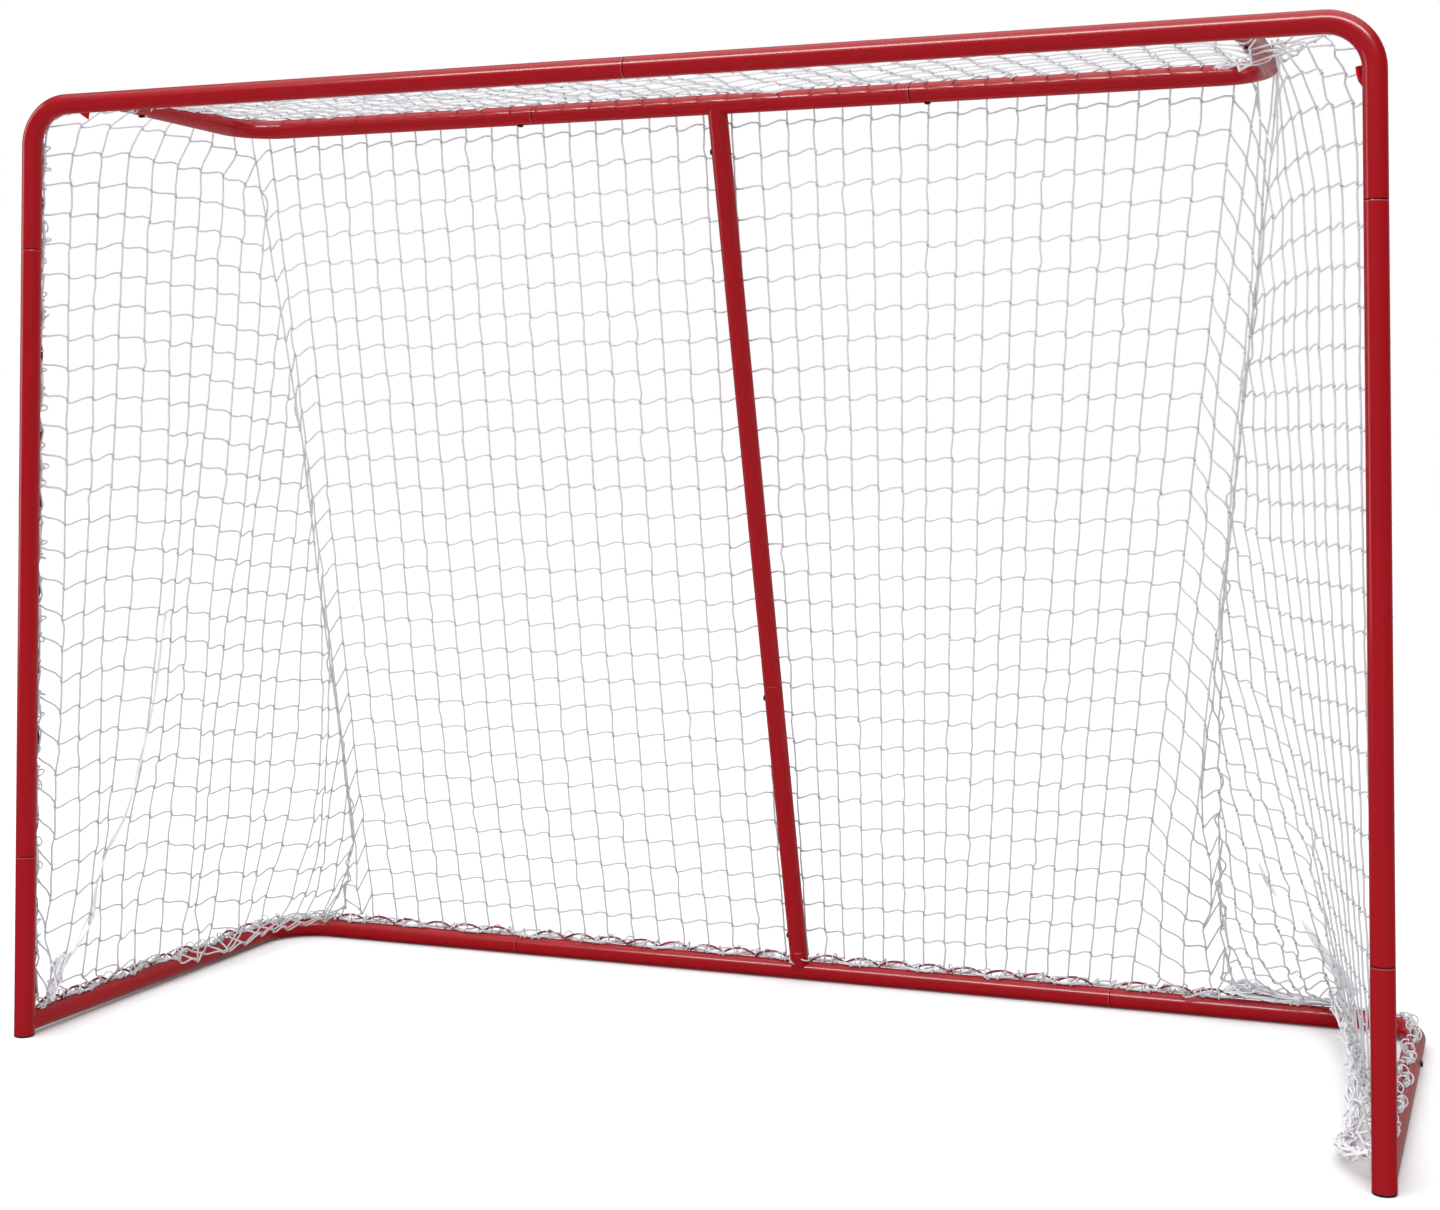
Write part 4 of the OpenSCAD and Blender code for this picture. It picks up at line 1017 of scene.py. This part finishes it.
def bumped(tree, height, strength=None, **settings):
    """Normals of a surface raised by the socket height."""
    bump = linked(tree, height, "ShaderNodeBump", "Height", **settings)
    if strength:
        tree.links.new(strength, bump.inputs["Strength"])
    return bump.outputs[0]


def shader_group(name, **inputs):
    """A node group with the inputs given as name=socket kind, and the outputs Colour and Normal."""
    group = bpy.data.node_groups.new(name, "ShaderNodeTree")
    for label, kind in inputs.items():
        group.interface.new_socket(label, in_out="INPUT", socket_type="NodeSocket" + kind)
    group.interface.new_socket("Colour", in_out="OUTPUT", socket_type="NodeSocketColor")
    group.interface.new_socket("Normal", in_out="OUTPUT", socket_type="NodeSocketVector")
    return group, add(group, "NodeGroupInput").outputs, add(group, "NodeGroupOutput").inputs


# %% [markdown]
# ### Powder coat
# Baked powder flows into a thick gloss film with a fine orange peel. One noise gives the peel as a bump, and
# a broad one gives the colour a faint mottle.

# %% Powder coat
powder_coat, given, out = shader_group("powder_coat", Colour="Color", Peel="Float")
where = add(powder_coat, "ShaderNodeTexCoord").outputs["Object"]
fine = linked(powder_coat, where, "ShaderNodeTexNoise", Scale=900.0, Detail=2.0).outputs[0]
broad = linked(powder_coat, where, "ShaderNodeTexNoise", Scale=14.0, Detail=3.0).outputs[0]
powder_coat.links.new(shaded(powder_coat, given["Colour"], broad, 0.94, 1.06), out["Colour"])
powder_coat.links.new(bumped(powder_coat, fine, given["Peel"], Distance=0.0004), out["Normal"])

# %% [markdown]
# ### Joint line and its painted highlight
# Where one tube is pushed on to the next, its end shows as a dark gap, and beside it the tube's rounded end
# catches the light as a bright rim. The CAD tubes meet without a gap, so both are drawn in colour, by the
# distance from a plane square to the tube: the gap as a dark band, the rim as a painted highlight.

# %% Joint line
GAP_HALF, RIM_FROM, RIM_TO = 0.0008, 0.0008, 0.0019     # metres from the joint's plane
# The rim's lighter red is a painted highlight: the light on the tube's rounded end.
GAP_RED, RIM_HIGHLIGHT_RED = (0.035, 0.002, 0.003, 1), (0.42, 0.045, 0.055, 1)
joint_line_and_highlight, given, out = shader_group("joint_line_and_highlight", Colour="Color", Along="Float", Place="Float")
away = linked(joint_line_and_highlight, given["Place"], "ShaderNodeMath", operation="SUBTRACT")
joint_line_and_highlight.links.new(given["Along"], away.inputs[1])
colour = given["Colour"]
# The first band is the dark gap, and the second is the painted highlight on the rim.
for middle_at, half, line in ((0.0, GAP_HALF, GAP_RED),
                              ((RIM_FROM + RIM_TO) / 2, (RIM_TO - RIM_FROM) / 2, RIM_HIGHLIGHT_RED)):
    inside = linked(joint_line_and_highlight, away.outputs[0], "ShaderNodeMath", operation="COMPARE")
    inside.inputs[1].default_value, inside.inputs[2].default_value = middle_at, half
    mix = linked(joint_line_and_highlight, inside.outputs[0], "ShaderNodeMix", data_type="RGBA")
    joint_line_and_highlight.links.new(colour, mix.inputs["A"])
    mix.inputs["B"].default_value = line
    colour = mix.outputs["Result"]
joint_line_and_highlight.links.new(colour, out["Colour"])

# %% [markdown]
# ### Laid cord
# Three or four strands wind round each other. As meshes they would make the net several times heavier, so a
# bump and painted shade in the grooves stand in for them. The height is |sin(pi strands (v - turns u))|. The
# cord also darkens towards the floor, to a given share of its colour: painted shade, for the weaker light
# that reaches the cords low down.

# %% Laid cord
laid_cord, given, out = shader_group("laid_cord", Colour="Color", Turns="Float", Strands="Float",
                                     Low="Float")
uv = add(laid_cord, "ShaderNodeUVMap", uv_map="UVMap").outputs[0]
uv = linked(laid_cord, uv, "ShaderNodeSeparateXYZ")


def math_node(operation, first, second=None):
    """Output of a Math node in the laid cord's group, of one or two sockets or numbers."""
    node = linked(laid_cord, first, "ShaderNodeMath", operation=operation)
    if isinstance(second, float):
        node.inputs[1].default_value = second
    elif second:
        laid_cord.links.new(second, node.inputs[1])
    return node.outputs[0]


wound = math_node("SUBTRACT", uv.outputs["Y"], math_node("MULTIPLY", uv.outputs["X"], given["Turns"]))
phase = math_node("MULTIPLY", math_node("MULTIPLY", wound, given["Strands"]), math.pi)
height = math_node("ABSOLUTE", math_node("SINE", phase))
# Painted shade: between these heights the cords darken towards the floor.
SHADE_FROM, SHADE_TO = 0.95, 0.15       # heights in metres
spot = linked(laid_cord, add(laid_cord, "ShaderNodeTexCoord").outputs["Object"], "ShaderNodeSeparateXYZ")
floor_shade_factor = linked(laid_cord, spot.outputs["Z"], "ShaderNodeMapRange", From_Min=SHADE_TO, From_Max=SHADE_FROM)
laid_cord.links.new(given["Low"], floor_shade_factor.inputs["To Min"])
floor_shaded = linked(laid_cord, given["Colour"], "ShaderNodeVectorMath", operation="SCALE")
laid_cord.links.new(floor_shade_factor.outputs[0], floor_shaded.inputs["Scale"])
# Painted shade in the grooves between the strands, down to 0.72 of the colour.
laid_cord.links.new(shaded(laid_cord, floor_shaded.outputs[0], height, 0.72), out["Colour"])
laid_cord.links.new(bumped(laid_cord, height, Strength=0.7, Distance=0.0004), out["Normal"])


# %% Materials
def new_material(name, base, roughness, group=None, **values):
    """A Principled material. values are inputs of the shader, or of the group for colour and normal."""
    material = bpy.data.materials.new(name)
    material.use_nodes = True
    tree = material.node_tree
    shader = tree.nodes["Principled BSDF"]
    shader.inputs["Base Color"].default_value = (*base, 1)
    shader.inputs["Roughness"].default_value = roughness
    effect = add(tree, "ShaderNodeGroup", node_tree=group) if group else shader
    for key, value in values.items():
        place = shader.inputs if key.replace("_", " ") in shader.inputs else effect.inputs
        place[key.replace("_", " ")].default_value = value
    if group:
        effect.inputs["Colour"].default_value = (*base, 1)
        tree.links.new(effect.outputs["Colour"], shader.inputs["Base Color"])
        tree.links.new(effect.outputs["Normal"], shader.inputs["Normal"])
    return material


# %% Paint with joint lines
def paint(name, base, roughness, joints=()):
    """Gloss powder coat, with a joint line and its painted highlight at each (axis, place in metres) of
    joints.
    """
    material = new_material(name, base, roughness, powder_coat, Peel=0.06,
                            Specular_IOR_Level=0.3, Coat_Weight=0.45, Coat_Roughness=0.09)
    tree = material.node_tree
    colour = tree.nodes["Principled BSDF"].inputs["Base Color"]
    place = linked(tree, add(tree, "ShaderNodeTexCoord").outputs["Object"], "ShaderNodeSeparateXYZ")
    for axis, at_m in joints:
        line = linked(tree, colour.links[0].from_socket, "ShaderNodeGroup", node_tree=joint_line_and_highlight,
                      Place=float(at_m))
        tree.links.new(place.outputs[axis], line.inputs["Along"])
        tree.links.new(line.outputs["Colour"], colour)
    return material


# %% The goal's own materials
FRAME_RED, FRAME_ROUGHNESS = (0.285, 0.001, 0.005), 0.28
# The wavy wires carry the frame's red paint; their darker red is painted shade, for the shade they lie in.
ROD_SHADED_RED, ROD_ROUGHNESS = (0.20, 0.006, 0.012), 0.40
CORD_WHITE = (0.67, 0.66, 0.685)
ROPE_WHITE = (0.66, 0.65, 0.67)
# Gathered cords are the net's cord, painted a paler white against the shade between the packed cords.
GATHERED_LIGHTENED_WHITE = (0.90, 0.88, 0.91)
CORD_ROUGHNESS = 0.62
NET_LAY = {"Turns": 95.0, "Strands": 3.0, "Sheen_Weight": 0.15}
ROPE_LAY = {"Turns": 70.0, "Strands": 4.0, "Sheen_Weight": 0.15}
# Planes in which the tubes meet: on the posts, the side rails, the rear bar and the shelf
leg_joint, foot_joint = node_box("top_tube_right")[0][2], node_box("base_tube_right")[1][2]
rail_joint, rear_joint = node_box("base_corner_right")[0][1], node_box("base_corner_right")[0][0]
shelf_joint = node_box("shelf_arm_right")[0][0]
front_paint = paint("red_powder_coat_front", FRAME_RED, FRAME_ROUGHNESS,
                    (("Z", leg_joint), ("Z", foot_joint), ("X", 0.0), ("Y", rail_joint)))
base_paint = paint("red_powder_coat_base", FRAME_RED, FRAME_ROUGHNESS,
                   (("X", rear_joint), ("X", -rear_joint), ("Y", rail_joint)))
shelf_paint = paint("red_powder_coat_shelf", FRAME_RED, FRAME_ROUGHNESS,
                    (("X", shelf_joint), ("X", -shelf_joint)))
rod_paint = paint("red_powder_coat_shaded_rods", ROD_SHADED_RED, ROD_ROUGHNESS)
cap_plastic = new_material("black_cap", (0.012, 0.012, 0.014), roughness=0.5)
screw_black = new_material("black_screw", (0.015, 0.015, 0.017), roughness=0.35, Metallic=0.6)
# The net's cords darken to 0.82 of their colour at the floor, which is painted shade. Rope and gathered cords
# get none.
cord_white = new_material("net_cord", CORD_WHITE, CORD_ROUGHNESS, laid_cord, Low=0.82, **NET_LAY)
gathered_lightened_white = new_material("net_cord_gathered_lightened", GATHERED_LIGHTENED_WHITE, CORD_ROUGHNESS, laid_cord, Low=1.0,
                              **NET_LAY)
rope_white = new_material("border_rope", ROPE_WHITE, CORD_ROUGHNESS, laid_cord, Low=1.0, **ROPE_LAY)
tape_red = new_material("red_tape", (0.62, 0.004, 0.010), roughness=0.18, Coat_Weight=0.6)
print("materials in the file:", ", ".join(material.name for material in bpy.data.materials))


# %% Finishes on their pieces
def dress(obj, material):
    """Gives an object one material."""
    obj.data.materials.clear()
    obj.data.materials.append(material)


finish_of = {"frame_paint": front_paint, "rod_paint": rod_paint, "cap_plastic": cap_plastic,
             "screw_black": screw_black, "net_cord": cord_white, "border_rope": rope_white,
             "tab_red": tape_red}
for part in frame["record"]["subparts"]:
    dress(nodes[part["node"]], finish_of[part["material_slot"]])
for material, names in (
        (base_paint, ("base_corner_left", "base_corner_right", "base_tee")),
        (shelf_paint, ("shelf_arm_left", "shelf_arm_right", "shelf_tee", "centre_post_upper",
                       "centre_post_lower"))):
    for name in names:
        dress(nodes[name], material)
for obj in [*net.values(), gather, net_bundles, net_seams]:
    dress(obj, gathered_lightened_white if obj in (gather, net_bundles) else cord_white)
for obj in border.values():
    dress(obj, rope_white)
for obj in (tab_left, tab_right):
    dress(obj, tape_red)
for obj in [*net.values(), gather, net_bundles, net_seams, *border.values(), tab_left, tab_right]:
    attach(obj, "root")

# %% [markdown]
# ## Floor and light
# A pale floor runs into a pale surround, and a very wide sun stands in for a soft sky. One area light fills
# in from the left, and a long one above the front lights the net. A long card draws the highlights along the
# tubes.

# %% Stage
FLOOR_SIZE = 40.0
bpy.ops.mesh.primitive_plane_add(size=FLOOR_SIZE)
floor = bpy.context.object
floor.name = "floor"
dress(floor, new_material("pale_floor", (0.87, 0.87, 0.87), roughness=0.6))
floor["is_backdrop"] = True


# %% Lights
def area_light(name, place, target, size, power):
    """A rectangular light at place that faces target."""
    light = bpy.data.lights.new(name, "AREA")
    light.shape = "RECTANGLE"
    light.size, light.size_y = size
    light.energy = power
    obj = bpy.data.objects.new(name, light)
    bpy.context.scene.collection.objects.link(obj)
    obj.location = place
    obj.rotation_mode = "QUATERNION"
    obj.rotation_quaternion = (Vector(target) - Vector(place)).to_track_quat("-Z", "Y")
    return obj


sun = bpy.data.lights.new("sky", "SUN")
sun.energy, sun.angle = 2.6, math.radians(110)
sky = bpy.data.objects.new("sky", sun)
bpy.context.scene.collection.objects.link(sky)
sky.rotation_euler = (math.radians(18), math.radians(-8), 0)
sky.visible_glossy = floor.visible_glossy = False
area_light("left", (-4.0, -0.9, 1.6), target=(0, 0, 0.6), size=(1.5, 3.0), power=30)
front_light = area_light("above_front", (0.3, -2.0, 4.2), target=(0.1, -0.2, 1.1), size=(5.0, 0.4), power=45)
front_light.visible_glossy = False
# A bright card that only the paint's gloss sees: it draws the thin highlights along the level tubes.
card = area_light("card", (0.3, -2.7, 3.4), target=(0, 0, 1.0), size=(5.0, 0.7), power=190)
card.visible_diffuse = False

# %% [markdown]
# ### What the paint reflects
# Gloss shows what stands round it. A plain white surround would turn the red tubes pink, so the camera, the
# paint and the rest each get a surround of their own: white for the camera, a dark room with a bright ceiling
# and a paler sweep behind the goal for glossy rays, and a pale one that lights the cords.

# %% Surround
world = bpy.data.worlds.new("studio")
bpy.context.scene.world = world
world.use_nodes = True
world.cycles.sampling_method = "NONE"       # so that paint reflects only what the glossy rays below meet
tree = world.node_tree
background = tree.nodes["Background"]
background.inputs["Color"].default_value = (0.96, 0.97, 1.0, 1)
background.inputs["Strength"].default_value = 0.62
ray = add(tree, "ShaderNodeLightPath")
split = linked(tree, add(tree, "ShaderNodeTexCoord").outputs["Generated"], "ShaderNodeSeparateXYZ")
seen = add(tree, "ShaderNodeMath", operation="ADD")
for slot, (axis, start, stop, strength) in enumerate((("Y", 0.4, 1.0, 0.28), ("Z", 0.6, 0.97, 1.4))):
    ramp = linked(tree, split.outputs[axis], "ShaderNodeMapRange", interpolation_type="SMOOTHSTEP",
                  From_Min=start, From_Max=stop, To_Max=strength)
    tree.links.new(ramp.outputs[0], seen.inputs[slot])
white = add(tree, "ShaderNodeBackground", Color=(1, 1, 1, 1))
reflected = linked(tree, seen.outputs[0], "ShaderNodeBackground", "Strength", Color=(1, 1, 1, 1))
for kind, other in (("Is Camera Ray", white), ("Is Glossy Ray", reflected)):
    mix = linked(tree, ray.outputs[kind], "ShaderNodeMixShader")
    tree.links.new(background.outputs[0], mix.inputs[1])
    tree.links.new(other.outputs[0], mix.inputs[2])
    background = mix
tree.links.new(background.outputs[0], tree.nodes["World Output"].inputs["Surface"])
bpy.context.scene.view_settings.view_transform = "Standard"
bpy.context.scene.view_settings.look = "None"

# %% Sizes and finish
new_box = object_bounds()
for word, corners in (("CAD", cad_box), ("scene", new_box)):
    print(word, "box in metres:", [[round(v, 4) for v in corner] for corner in corners])
